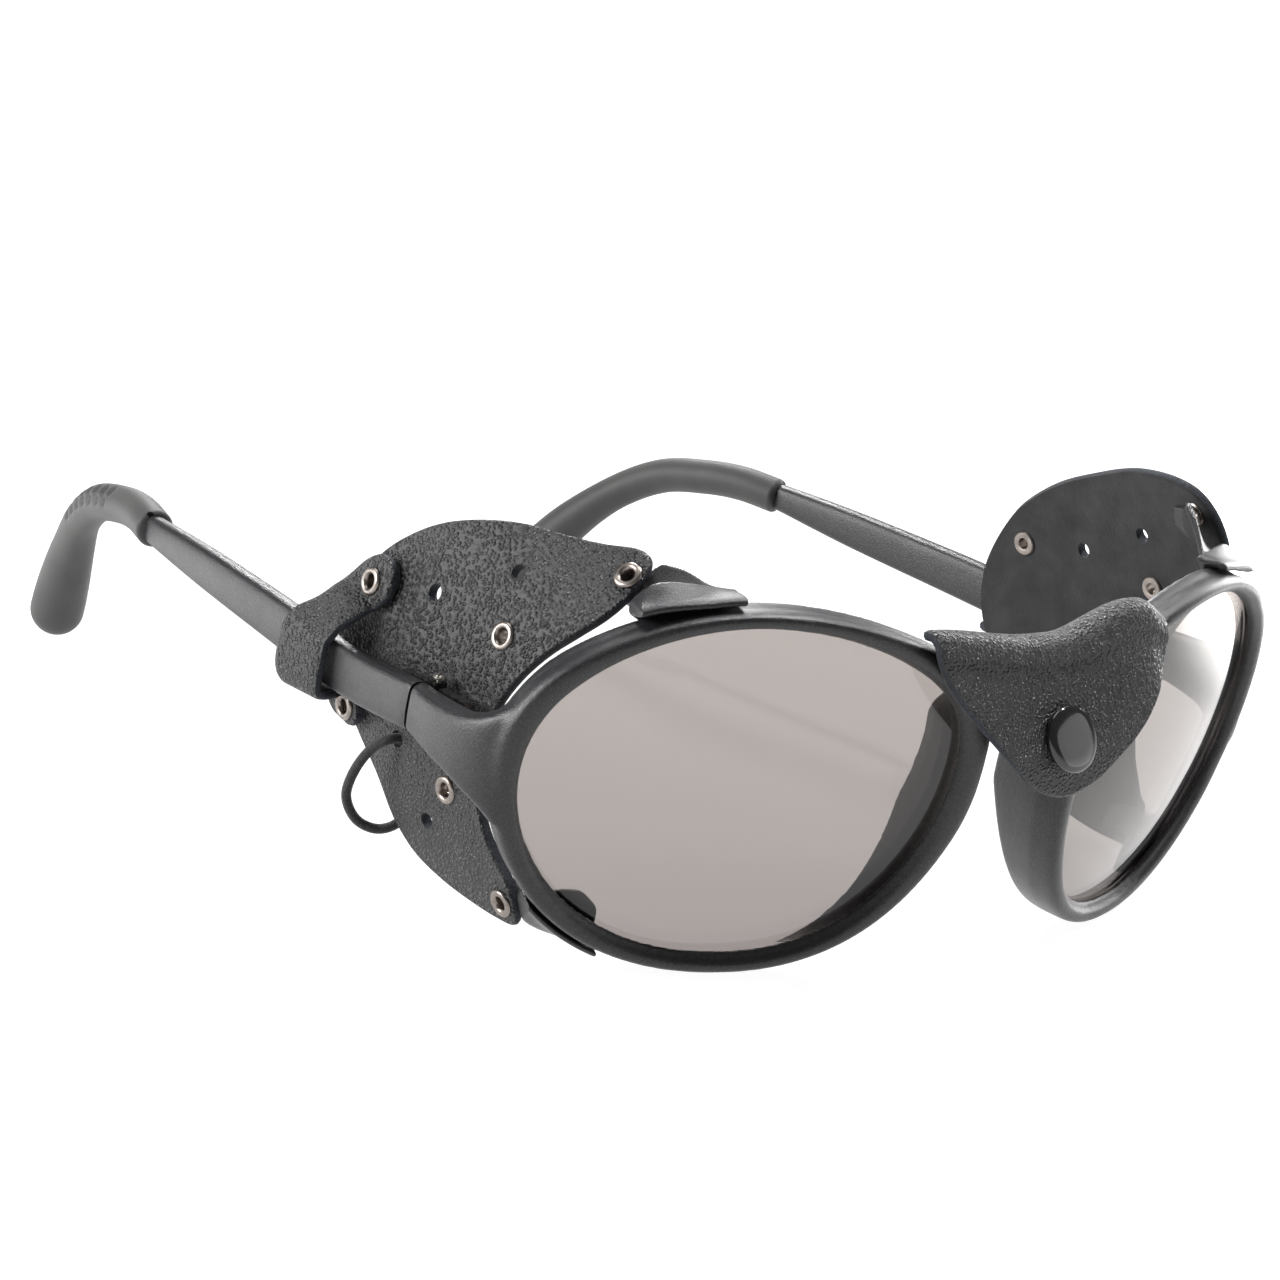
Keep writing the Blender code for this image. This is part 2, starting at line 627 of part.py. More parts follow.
def temple_strap(side, word):
    """The leather band round the temple, and the tab under it that takes the lower eyelet."""
    ways = on_leather(side, ((45.6, 39.3), (47.2, 38.2), (49.0, 37.0), (50.4, 35.6)))
    for x, y, z, out, up in STRAP_OVER:
        ways.append((Vector((side * x, y, z)) * MM, Vector((side * out, 0, up)).normalized()))
    made = band(f"{word}_temple_strap", ways, STRAP_WIDTHS)
    tab = on_leather(side, ((53.6, 21.7), (51.2, 21.3), (49.4, 21.0), (47.8, 20.7), (46.7, 20.5)))
    boolean(made, band(f"{word}_strap_tab", tab, TAB_WIDTHS), "UNION")
    for label in ("strap_upper", "strap_lower"):
        y, z = EYELETS[label]
        boolean(made, leather_cutter(side, f"{word}_{label}_strap_hole", y, z,
                                     EYELET_BARREL_R + GAP), "DIFFERENCE")
    return made


# --- clips --------------------------------------------------------------------------------
def clip(side, word, label, sign, stations):
    """A fin that hooks over the rim's edge, with a tongue behind the leather's eyelet."""
    rings = []
    for theta, height, reach in stations:
        u_out, v_out = outline(math.radians(theta), FACE_SIDE + GAP, FACE_TOP + GAP)
        u_in, v_in = outline(math.radians(theta),
                             (FACE_SIDE + GAP) * (1 - reach) - CLIP_TAB * reach,
                             (FACE_TOP + GAP) * (1 - reach) - CLIP_TAB * reach)
        peak = v_out + sign * height * MM
        behind = RIM_BACK + GAP
        rings.append([on_rim(side, u_out, 0.8 * MM, v_out + sign * 0.1 * MM),
                      on_rim(side, u_out, 1.2 * MM, v_out + sign * 0.9 * MM),
                      on_rim(side, u_out, 4.2 * MM, peak), on_rim(side, u_out, 5.0 * MM, peak),
                      on_rim(side, u_in, 5.0 * MM, v_in + sign * 0.1 * MM),
                      on_rim(side, u_in, behind, v_in + sign * 0.1 * MM),
                      on_rim(side, u_out, behind, v_out + sign * 0.1 * MM)])
    name = f"{word}_{label}_clip"
    fin = loft(name, rings, NYLON)
    boolean(fin, loft(f"{name}_tongue", tongue_rings(side, label, sign), group=CUTTERS), "UNION")
    return fin


def tongue_rings(side, label, sign):
    """Sections of the plate that sweeps from the fin's rear to behind the leather's eyelet."""
    y, z = eyelet_places(side)[f"clip_{label}"]
    point, normal = shield_frame(side, y * MM, z * MM)
    under = point - normal * (LEATHER / 2 + 2 * GAP + EYELET_RIM + 0.8 * MM)
    roots = []
    for theta in TONGUE_ROOTS[label]:
        u, v = outline(math.radians(theta), FACE_SIDE, FACE_TOP)
        roots.append(on_rim(side, u, 4.5 * MM, v + sign * TONGUE_RISE[label]))
    along = under - (roots[0] + roots[1]) / 2
    along = (along - normal * along.dot(normal)).normalized()
    across = roots[1] - roots[0]
    across = (across - normal * across.dot(normal))
    across = (across - along * across.dot(along)).normalized()
    ends = [under - across * 2.2 * MM, under + across * 2.2 * MM]
    bend = (roots[0] * 0.55 + roots[1] * 0.45) * 0.55 + ends[1] * 0.45
    rings = []
    for t in (0, 0.2, 0.4, 0.6, 0.8, 1.0):
        left = roots[0].lerp(ends[0], t)
        right = roots[1] * (1 - t) ** 2 + bend * 2 * t * (1 - t) + ends[1] * t * t
        thick = (right - left).cross(along).normalized() * 0.5 * MM
        rings.append([left - thick, right - thick, right + thick, left + thick])
    tip, thick = under + along * 1.8 * MM, normal * 0.5 * MM
    tips = [tip - across * 1.5 * MM, tip + across * 1.5 * MM]
    if thick.dot(rings[-1][3] - rings[-1][0]) < 0:
        thick = -thick
    rings.append([tips[0] - thick, tips[1] - thick, tips[1] + thick, tips[0] + thick])
    return rings


# where the plates start on the rims: two angles in degrees, and the height above the rim
TONGUE_ROOTS = {"upper": (59, 74), "lower": (-51, -56)}
TONGUE_RISE = {"upper": 0.2 * MM, "lower": -0.4 * MM}
# angle round the rim in degrees, height of the fin in mm, how far it reaches in behind the rim
UPPER_FIN = ((56, 1.0, 0), (59, 2.2, 0.5), (62, 2.9, 0.8), (66, 3.0, 0.8), (71, 2.5, 0.7),
             (76, 1.7, 0.4), (83, 0.9, 0))
LOWER_FIN = ((-46, 1.4, 0), (-49, 3.2, 0.6), (-54, 3.0, 1.0), (-60, 2.2, 1.0),
             (-66, 1.4, 0.8), (-71, 0.8, 0))


# --- elastic loop -------------------------------------------------------------------------
ELASTIC_PATH = ((61.9, 39.9, 19.7), (62.9, 41.6, 18.0), (63.5, 43.4, 14.6), (63.3, 44.5, 10.8),
                (61.9, 43.8, 7.9), (59.8, 42.4, 6.8), (57.4, 41.6, 7.2), (55.7, 40.8, 9.2),
                (55.1, 39.9, 12.0), (55.3, 39.2, 15.0))


def elastic_loop(side, word):
    """The elastic cord's loop: out of its hole, round the leather's rear edge and back."""
    path = [Vector((side * p.x, p.y, p.z)) * MM for p in spline(ELASTIC_PATH, 22)]
    return wire(f"{word}_elastic_loop", path, ELASTIC_R, ELASTIC)


# --- nose cover and snap ------------------------------------------------------------------
COVER_BOTTOM = ((0, 27.3), (5.3, 28.8), (9.1, 31.7), (13.3, 35.5), (17.3, 39.7), (19.4, 42.8),
                (20.6, 45.0))


def cover_bottom(x):
    """Height of the front flap's lower edge at x."""
    x = min(abs(x), COVER_BOTTOM[-1][0] - 0.001)
    for (x0, z0), (x1, z1) in zip(COVER_BOTTOM, COVER_BOTTOM[1:]):
        if x0 <= x < x1:
            return z0 + (z1 - z0) * (x - x0) / (x1 - x0)
    return COVER_BOTTOM[-1][1]


def cover_top(x):
    """Height of the fold above the bridge: a saddle that humps over the left rim."""
    if x < 0:
        return 45.6 + 1.3 * smooth(-x, 3, 19)
    return 45.6 + 3.6 * smooth(x, 1, 15) - 2.1 * smooth(x, 16, 21)


def cover_point(x, share):
    """A point on the front flap's middle, share 0 at the fold and 1 at the lower edge."""
    top, bottom = cover_top(x), cover_bottom(x)
    roll = 2.4
    drop = share * (top - bottom)
    z = top - drop
    rolled = min(drop / roll, 1)
    y = -9.6 - roll * (math.sqrt(1 - (1 - rolled) ** 2) - 0.5) - 4.6 * smooth(drop, roll, 15)
    y -= 1.0 * (1 - (x / 20.6) ** 2)
    return Vector((x, y, z)) * MM


def nose_cover_flap():
    """The front flap: a rounded triangle of leather that hangs from the fold."""
    bm = bmesh.new()
    columns, rows = 17, 9
    half = COVER_BOTTOM[-1][0]
    grid = []
    for i in range(columns):
        x = half * (2 * i / (columns - 1) - 1)
        grid.append([bm.verts.new(cover_point(x, j / (rows - 1))) for j in range(rows)])
    for a, b in zip(grid, grid[1:]):
        for k in range(rows - 1):
            bm.faces.new((a[k], a[k + 1], b[k + 1], b[k]))
    flap = finish("nose_cover_flap", bm, SKIN)
    thick = flap.modifiers.new("leather", "SOLIDIFY")
    thick.thickness = LEATHER
    thick.offset = 0
    middle, way = snap_axis()
    hole = cylinder("cap_hole", middle, way, SNAP_SHANK_R + GAP, 6 * MM, group=CUTTERS, sides=16)
    boolean(flap, hole, "DIFFERENCE")
    return flap


BACK_COVER = ((-6.9, 45.4, 11.0), (-5.0, 45.6, 10.4), (-3.4, 44.6, 9.0), (-3.0, 41.0, 6.0),
              (-3.6, 38.8, 4.8), (-5.6, 37.0, 4.2), (-8.4, 36.6, 4.0))


def nose_cover_back():
    """The rear tongue: down behind the bridge and forward under it to the snap."""
    snap_middle, way = snap_axis()
    seat = snap_middle - way * STUD_DEPTH
    down = Vector((1, 0, 0)).cross(way)
    path = [(Vector((0, y, z)) * MM, half_w) for y, z, half_w in BACK_COVER]
    path += [(seat + down * drop * MM, half_w)
             for drop, half_w in ((-3.0, 4.3), (0, 4.6), (2.6, 4.2), (4.2, 2.4))]
    rings = []
    for k, (middle, half_w) in enumerate(path):
        before, after = path[max(k - 1, 0)][0], path[min(k + 1, len(path) - 1)][0]
        along = (after - before).normalized()
        half = Vector((0, -along.z, along.y)) * LEATHER / 2
        wide = Vector((half_w, 0, 0)) * MM
        rings.append([middle - wide - half, middle + wide - half, middle + wide + half,
                      middle - wide + half])
    tongue = loft("nose_cover_back", rings, SKIN)
    hole = cylinder("post_hole", seat, way, STUD_SHANK_R + GAP, 6 * MM, group=CUTTERS, sides=16)
    boolean(tongue, hole, "DIFFERENCE")
    return tongue


def snap_axis():
    """The press stud's middle on the front flap and the way that it faces."""
    top, bottom = cover_top(0), cover_bottom(0)
    share = (top - SNAP_Z / MM) / (top - bottom)
    middle = cover_point(0, share)
    along = cover_point(0, share + 0.05) - cover_point(0, share - 0.05)
    return middle, along.cross(Vector((1, 0, 0))).normalized()


def snap():
    """The press stud: cap and socket on the front flap, stud and post on the rear tongue."""
    middle, way = snap_axis()
    face = LEATHER / 2 + GAP
    cap = [(0, -face - 0.4 * MM), (SNAP_SHANK_R, -face - 0.4 * MM), (SNAP_SHANK_R, face),
           (SNAP_CAP_R, face), (SNAP_CAP_R, face + 0.5 * MM),
           (SNAP_CAP_R - 0.4 * MM, face + 0.9 * MM), (0, face + 0.9 * MM)]
    turn_on(FLAP_PIVOT, turned("snap_cap", cap, middle, way, LACQUER, 24))
    bore = SNAP_SHANK_R + GAP
    socket = [(bore, -face - 1.4 * MM), (SNAP_DISC_R, -face - 1.4 * MM),
              (SNAP_DISC_R, -face - 0.3 * MM), (bore, -face - 0.3 * MM)]
    turn_on(FLAP_PIVOT, turned("snap_socket", socket, middle, way, STEEL, 16))
    seat = middle - way * STUD_DEPTH
    stud = [(0, -face - 0.3 * MM), (STUD_SHANK_R, -face - 0.3 * MM), (STUD_SHANK_R, face),
            (2.2 * MM, face), (2.2 * MM, face + 0.4 * MM), (1.0 * MM, face + 0.4 * MM),
            (1.0 * MM, face + 0.7 * MM), (0, face + 0.7 * MM)]
    turned("snap_stud", stud, seat, way, STEEL, 16)
    bore = STUD_SHANK_R + GAP
    post = [(bore, -face - 0.5 * MM), (SNAP_DISC_R, -face - 0.5 * MM), (SNAP_DISC_R, -face),
            (bore, -face)]
    turned("snap_post", post, seat, way, STEEL, 16)


def main():
    """Build every piece."""
    front_frame()
    for side, word in SIDES:
        lens(side, word)
        side_shield(side, word)
        rings = {label: eyelet(side, word, label) for label in EYELETS}
        clip(side, word, "upper", 1, UPPER_FIN)
        clip(side, word, "lower", -1, LOWER_FIN)
        turn_on(TEMPLE_PIVOTS[word], temple(side, word), ear_sleeve(side, word),
                core_wire(side, word), hinge(side, word), temple_strap(side, word),
                elastic_loop(side, word), rings["strap_upper"], rings["strap_lower"])
    turn_on(FLAP_PIVOT, nose_cover_flap())
    nose_cover_back()
    snap()


main()
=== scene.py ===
"""Glacier glasses with leather side shields, a leather nose cover and rubber ear hooks.

Every shape is drawn in millimetres in the lenses' frame, whose y = 0 is the middle of the
lenses, and put() takes it to the row frame.  The wearer's right side is at -X.
"""
import json
import math

import bmesh
import bpy
import numpy as np
from mathutils import Matrix, Vector


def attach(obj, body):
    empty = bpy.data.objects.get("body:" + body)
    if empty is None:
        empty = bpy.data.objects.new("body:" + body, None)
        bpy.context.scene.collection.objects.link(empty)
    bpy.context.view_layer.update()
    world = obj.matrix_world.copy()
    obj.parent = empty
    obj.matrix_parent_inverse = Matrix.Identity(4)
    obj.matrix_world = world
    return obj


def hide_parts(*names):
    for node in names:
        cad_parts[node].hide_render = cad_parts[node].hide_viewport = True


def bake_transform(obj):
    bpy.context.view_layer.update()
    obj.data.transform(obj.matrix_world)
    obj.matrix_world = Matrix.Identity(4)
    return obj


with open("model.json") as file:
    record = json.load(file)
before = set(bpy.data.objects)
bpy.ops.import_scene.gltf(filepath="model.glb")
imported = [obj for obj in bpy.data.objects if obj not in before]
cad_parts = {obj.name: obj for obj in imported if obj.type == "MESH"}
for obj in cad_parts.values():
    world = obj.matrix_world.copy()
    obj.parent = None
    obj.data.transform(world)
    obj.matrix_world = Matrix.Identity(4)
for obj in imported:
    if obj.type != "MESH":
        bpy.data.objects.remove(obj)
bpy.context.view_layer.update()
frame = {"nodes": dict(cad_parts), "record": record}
JOINTS = {joint["name"]: joint for joint in frame["record"]["behaviour"]["joints"]}
MM = 0.001
SIDES = ((-1, "right"), (1, "left"))

# --- driving dimensions, in millimetres ---
HINGE = Vector((62.8, 31.15, 27.5))      # middle of the left hinge pin
MIDDLE_Y = HINGE.y - JOINTS["left_temple_fold"]["pos_m"][1] / MM
LENS_HALF_W, LENS_HALF_H = 28.8, 22.7
LENS_X, LENS_Z = 38.6, 24.65
WRAP, TILT = math.radians(20.5), math.radians(7.2)
BASE_RADIUS = 250.0
LENS_BULGE = 1.8                         # how far the glass stands proud of its rim's plane
LENS_THICK = 2.0
FACE_SIDE, FACE_TOP = 3.5, 1.9
SEAT, LIP, GAP = 1.1, 1.0, 0.3
BRIDGE_HALF = 11.5
RIM_BACK, FLANGE_BACK = 3.6, 10.8
LEATHER = 1.4
CLIP_TAB = 2.6
ELASTIC_R = 0.65
SNAP_Z, CAP_R, STUD_DEPTH = 34.4, 4.3, 4.0
EYELET_HOLE_R, PUNCHED_HOLE_R = 1.2, 1.1

# --- how finely the meshes are made ---
FRAME_VOXEL, CLIP_VOXEL = 0.36, 0.17
MELT_PASSES = 26                         # smoothing where the lugs and the bridge flow in
WELD, ON_AXIS = 0.001, 0.0001
DRILL_LENGTH = 6
SOFT_EDGE = 0.34                         # half thickness of leather at its border, as a share

CAMERA_AT = (-419.34, -374.20, 194.15)   # in the lenses' frame
CAMERA_TURN = tuple(math.radians(a) for a in (-43.806, 15.932, 10.195))
CAMERA_LENS = 129.375                    # on a 36 mm sensor


def put(point):
    """A point of the lenses' frame in mm, in the row frame in metres."""
    return Vector((point[0], point[1] - MIDDLE_Y, point[2])) * MM


def mirrored(side, x, y, z):
    """A point or way of the left half (side 1) or of its mirror image (side -1)."""
    return Vector((side * x, y, z))


def added(name, data):
    """A new object in the scene that holds the data."""
    made = bpy.data.objects.new(name, data)
    bpy.context.scene.collection.objects.link(made)
    return made


# --- camera ---
def camera():
    """The camera: azimuth, elevation and roll as the photograph's."""
    azimuth, elevation, roll = CAMERA_TURN
    back = Vector((math.sin(azimuth) * math.cos(elevation),
                   -math.cos(azimuth) * math.cos(elevation), math.sin(elevation)))
    level = Vector((math.cos(azimuth), math.sin(azimuth), 0))
    above = back.cross(level)
    right = level * math.cos(roll) + above * math.sin(roll)
    up = back.cross(right)
    data = bpy.data.cameras.new("camera")
    data.lens = CAMERA_LENS
    data.sensor_width = 36
    data.clip_start = 0.01
    made = added("camera", data)
    turn = Matrix((right, up, back)).transposed().to_4x4()
    made.matrix_world = Matrix.Translation(put(CAMERA_AT)) @ turn
    bpy.context.scene.camera = made


camera()


# --- curves and small mathematics ---
def smooth(x, low, high):
    """0 below low, 1 above high, and a smooth step between them."""
    t = min(max((x - low) / (high - low), 0), 1)
    return t * t * (3 - 2 * t)


def spline(points, count, closed=False):
    """A Catmull-Rom curve through rows of numbers, as count rows."""
    pts = [np.array(p, float) for p in points]
    if closed:
        pts = [pts[-1], *pts, *pts[:2]]
    else:
        pts = [2 * pts[0] - pts[1], *pts, 2 * pts[-1] - pts[-2]]
    spans = len(pts) - 3
    made = []
    for i in range(count):
        s = i / (count if closed else count - 1) * spans
        k = min(int(s), spans - 1)
        t = s - k
        a, b, c, d = pts[k:k + 4]
        made.append(0.5 * (2 * b + (c - a) * t + (2 * a - 5 * b + 4 * c - d) * t * t
                           + (3 * b - a - 3 * c + d) * t ** 3))
    return made


def circle(count):
    """Evenly spaced angles round a circle."""
    return [math.tau * k / count for k in range(count)]


def lengths_along(path):
    """How far along its path each point lies."""
    lengths = [0.0]
    for a, b in zip(path, path[1:]):
        lengths.append(lengths[-1] + (b - a).length)
    return lengths


def rounded(corners, times=2):
    """A closed polygon with its corners cut off again and again, which rounds them."""
    for _ in range(times):
        cut = []
        for a, b in zip(corners, corners[1:] + corners[:1]):
            cut += [a * 0.75 + b * 0.25, a * 0.25 + b * 0.75]
        corners = cut
    return corners


# --- meshes ---
def quads(base, rows, count, wrap=True, closed=False):
    """Faces between rows of count points; wrap joins each row's ends, closed the last row."""
    faces = []
    for i in range(rows if closed else rows - 1):
        low, high = base + i * count, base + (i + 1) % rows * count
        for k in range(count if wrap else count - 1):
            nxt = (k + 1) % count
            faces.append((low + k, low + nxt, high + nxt, high + k))
    return faces


def fan(base, count, tip):
    """Faces from a ring of count points to one more point."""
    return [(base + k, base + (k + 1) % count, tip) for k in range(count)]


def piece(name, verts, faces, materials, indices=None, weld=False):
    """An object from points of the lenses' frame, shaded smooth, with outward faces."""
    mesh = bpy.data.meshes.new(name)
    mesh.from_pydata([put(v) for v in verts], [], faces)
    for look in materials:
        mesh.materials.append(look)
    if indices is not None:
        mesh.polygons.foreach_set("material_index", indices)
    bm = bmesh.new()
    bm.from_mesh(mesh)
    if weld:
        bmesh.ops.remove_doubles(bm, verts=bm.verts, dist=WELD * MM)
    bmesh.ops.recalc_face_normals(bm, faces=bm.faces)
    bm.to_mesh(mesh)
    bm.free()
    mesh.shade_smooth()
    return added(name, mesh)


def loft(name, rings, look, closed=False):
    """A tube through rings of equally many points, with flat ends unless it is closed."""
    count = len(rings[0])
    verts = [p for ring in rings for p in ring]
    faces = quads(0, len(rings), count, closed=closed)
    if not closed:
        faces += [tuple(range(count)), tuple(range(len(verts) - count, len(verts)))]
    return piece(name, verts, faces, [look])


def from_bmesh(name, bm, materials):
    """An object from a bmesh, which is freed."""
    mesh = bpy.data.meshes.new(name)
    bm.to_mesh(mesh)
    bm.free()
    for look in materials:
        mesh.materials.append(look)
    return added(name, mesh)


def applied(made):
    """Apply an object's modifiers."""
    graph = bpy.context.evaluated_depsgraph_get()
    mesh = bpy.data.meshes.new_from_object(made.evaluated_get(graph))
    mesh.name = made.name
    made.modifiers.clear()
    old, made.data = made.data, mesh
    bpy.data.meshes.remove(old)


def joined(name, parts):
    """Several objects as one mesh object."""
    bm = bmesh.new()
    for part in parts:
        bm.from_mesh(part.data)
    made = from_bmesh(name, bm, parts[0].data.materials)
    for part in parts:
        bpy.data.objects.remove(part)
    return made


def smoothed(made, passes, group=""):
    """Add a smoothing step, on a vertex group if one is named."""
    step = made.modifiers.new("smooth", "SMOOTH")
    step.factor, step.iterations, step.vertex_group = 0.5, passes, group


def moulded(made, voxel, passes, softly=None):
    """Melt overlapping bodies into one skin; softly(point) says where it is smoothed more."""
    step = made.modifiers.new("skin", "REMESH")
    step.mode = "VOXEL"
    step.voxel_size = voxel * MM
    applied(made)
    smoothed(made, passes)
    if softly:
        deep = made.vertex_groups.new(name="deep")
        for vertex in made.data.vertices:
            weight = softly(vertex.co / MM)
            if weight > 0:
                deep.add([vertex.index], weight, "REPLACE")
        smoothed(made, MELT_PASSES, "deep")
    applied(made)
    made.data.shade_smooth()


def above_floor(made):
    """Lift the points that lie below the floor onto it."""
    for vertex in made.data.vertices:
        vertex.co.z = max(vertex.co.z, 0)


def cut_out(made, bm, crease):
    """Take a bmesh's bodies out of an object; edges above crease degrees stay sharp."""
    knife = from_bmesh("knife", bm, [made.data.materials[-1]])
    cut = made.modifiers.new("cut", "BOOLEAN")
    cut.operation, cut.object, cut.solver = "DIFFERENCE", knife, "EXACT"
    cut.material_mode = "TRANSFER"
    applied(made)
    bpy.data.objects.remove(knife)
    made.data.shade_smooth()
    made.data.set_sharp_from_angle(angle=math.radians(crease))


def drilled(made, cutters):
    """Cut cylinders, each (middle, way, radius) in mm, out of an object."""
    bm = bmesh.new()
    for middle, way, radius in cutters:
        fresh = bmesh.ops.create_cone(bm, cap_ends=True, segments=28, radius1=radius * MM,
                                      radius2=radius * MM, depth=DRILL_LENGTH * MM)["verts"]
        turn = Vector(way).to_track_quat("Z", "Y").to_matrix().to_4x4()
        bmesh.ops.transform(bm, matrix=Matrix.Translation(put(middle)) @ turn, verts=fresh)
    cut_out(made, bm, 50)


def turned(name, profile, centre, axis, look, steps):
    """A body of revolution: a closed loop of (radius, height), or one that starts on the axis."""
    axis = Vector(axis).normalized()
    across = axis.orthogonal().normalized()
    other = axis.cross(across)
    verts = []
    for a in circle(steps):
        way = across * math.cos(a) + other * math.sin(a)
        verts += [centre + axis * h + way * max(r, ON_AXIS) for r, h in profile]
    hollow = profile[0][0] > 0
    faces = quads(0, steps, len(profile), wrap=hollow, closed=True)
    made = piece(name, verts, faces, [look], weld=not hollow)
    made.data.set_sharp_from_angle(angle=math.radians(40))
    return made


def leather_sheet(name, rows, normals, polar=False):
    """A leather sheet with soft edges from a grid of points; polar rows run inward."""
    count, last = len(rows[0]), len(rows) - 1
    verts, faces, indices, layers = [], [], [], []
    for face, sign in enumerate((1, -1)):
        base = len(verts)
        layers.append(base)
        for i, (row, ways) in enumerate(zip(rows, normals)):
            for k, (point, way) in enumerate(zip(row, ways)):
                border = i == 0 or (not polar and (i == last or k in (0, count - 1)))
                share = SOFT_EDGE if border else 0.5
                verts.append(point + way * sign * LEATHER * share)
        faces += quads(base, len(rows), count, wrap=polar)
        if polar:
            middle = sum(rows[-1], Vector()) / count
            verts.append(middle + normals[-1][0] * sign * LEATHER * 0.5)
            faces += fan(base + last * count, count, len(verts) - 1)
        indices += [face] * (len(faces) - len(indices))
    if polar:
        loop = list(range(count))
        inward = [count + k for k in loop]
    else:
        loop = (list(range(count)) + [i * count + count - 1 for i in range(1, len(rows))]
                + [last * count + k for k in range(count - 2, -1, -1)]
                + [i * count for i in range(last - 1, 0, -1)])
        inward = []
        for index in loop:
            i, k = divmod(index, count)
            i = min(max(i, 1), last - 1)
            k = min(max(k, 1), count - 2)
            inward.append(i * count + k)
    outer = len(verts)
    for index, inner in zip(loop, inward):
        edge = (verts[index] + verts[layers[1] + index]) / 2
        way = edge - (verts[inner] + verts[layers[1] + inner]) / 2
        verts.append(edge + way.normalized() * 0.12 * LEATHER)
    for j in range(len(loop)):
        nxt = (j + 1) % len(loop)
        for base in layers:
            faces.append((base + loop[j], base + loop[nxt], outer + nxt, outer + j))
            indices.append(2)
    return piece(name, verts, faces, HIDE, indices)


def tube_rings(path, radii, sides):
    """Round sections across a path that never twist; radii(k, angle) gives each radius."""
    rings = []
    across = Vector((0, 0, 1))
    for k, point in enumerate(path):
        way = (path[min(k + 1, len(path) - 1)] - path[max(k - 1, 0)]).normalized()
        across = (across - way * across.dot(way)).normalized()
        other = way.cross(across)
        rings.append([point + (across * math.cos(a) + other * math.sin(a)) * radii(k, a)
                      for a in circle(sides)])
    return rings


# --- materials ---
def new_node(tree, kind, **values):
    """A shader node with values for its inputs, an underscore standing for a space."""
    node = tree.nodes.new("ShaderNode" + kind)
    for socket, value in values.items():
        node.inputs[socket.replace("_", " ")].default_value = value
    return node


class Look:
    """A Principled material and short ways to add nodes to it."""

    def __init__(self, name, colour, roughness, metallic=0.0):
        self.material = bpy.data.materials.new(name)
        self.material.use_nodes = True
        self.tree = self.material.node_tree
        self.shader = self.tree.nodes["Principled BSDF"]
        self.set("Base Color", (*colour, 1))
        self.set("Roughness", roughness)
        self.set("Metallic", metallic)
        self.where = new_node(self.tree, "TexCoord").outputs["Object"]
        self.height = None

    def set(self, socket, value):
        """A value that is the same all over."""
        self.shader.inputs[socket].default_value = value

    def link(self, output, target):
        """Join an output to one of the shader's sockets, by name, or to any input."""
        target = self.shader.inputs[target] if isinstance(target, str) else target
        self.tree.links.new(output, target)

    def noise(self, size, detail=2.0, rough=0.5, output="Fac"):
        """Noise whose features are about size mm across."""
        node = new_node(self.tree, "TexNoise", Scale=1 / (size * MM), Detail=detail,
                        Roughness=rough)
        self.link(self.where, node.inputs["Vector"])
        return node.outputs[output]

    def cells(self, size, warp):
        """Distance from the middles of cells about size mm across, warped by some mm."""
        mix = new_node(self.tree, "VectorMath")
        mix.operation = "MULTIPLY_ADD"
        self.link(self.noise(size * 2.2, output="Color"), mix.inputs[0])
        mix.inputs[1].default_value = (warp * MM,) * 3
        self.link(self.where, mix.inputs[2])
        node = new_node(self.tree, "TexVoronoi", Scale=1 / (size * MM))
        self.link(mix.outputs[0], node.inputs["Vector"])
        return node.outputs["Distance"]

    def ramp(self, value, low, high, first, last):
        """Values from low to high become first to last, numbers or colours."""
        node = new_node(self.tree, "ValToRGB")
        for stop, place, colour in zip(node.color_ramp.elements, (low, high), (first, last)):
            stop.position = place
            colour = colour if hasattr(colour, "__len__") else (colour,) * 3
            stop.color = (*colour, 1)
        self.link(value, node.inputs["Fac"])
        return node.outputs["Color"]

    def vary(self, socket, value, low, high, first, last):
        """Make a socket go from first to last while value goes from low to high."""
        self.link(self.ramp(value, low, high, first, last), socket)

    def bump(self, height, depth, strength=1.0):
        """Raise the surface by height times depth mm, on top of what is there."""
        node = new_node(self.tree, "Bump", Strength=strength, Distance=depth * MM)
        self.link(height, node.inputs["Height"])
        if self.height:
            self.link(self.height, node.inputs["Normal"])
        self.height = node.outputs["Normal"]
        self.link(self.height, "Normal")


def nylon_look():
    """Satin black moulded nylon with a fine spark-eroded grain and a dusting of pale specks."""
    look = Look("nylon", (0.018, 0.018, 0.020), 0.42)
    grain = look.noise(0.24, 3, 0.65)
    look.bump(grain, 0.07, 0.9)
    worn = look.noise(7, 4, 0.6)
    look.vary("Roughness", worn, 0.3, 0.7, 0.28, 0.40)
    look.vary("Base Color", grain, 0.45, 0.80, (0.011, 0.011, 0.013), (0.045, 0.044, 0.045))
    return look


def leather_look():
    """Pebbled black leather: small raised cells, with painted shade darkening the creases between
    them.
    """
    look = Look("leather", (0.018, 0.018, 0.019), 0.4)
    look.set("Specular IOR Level", 0.8)
    pebbles = look.cells(0.50, 0.3)
    creases = look.noise(1.6, 4, 0.6)
    look.bump(look.ramp(creases, 0.35, 0.7, 0.0, 1.0), 0.16, 0.7)
    look.bump(look.ramp(pebbles, 0.10, 0.60, 1.0, 0.0), 0.34, 1.0)
    # painted shade: the base colour darkens from each cell's middle out into the creases between
    # them
    look.vary("Base Color", pebbles, 0.2, 0.7, (0.011, 0.011, 0.012), (0.004, 0.004, 0.005))
    look.vary("Roughness", pebbles, 0.1, 0.6, 0.20, 0.62)
    return look


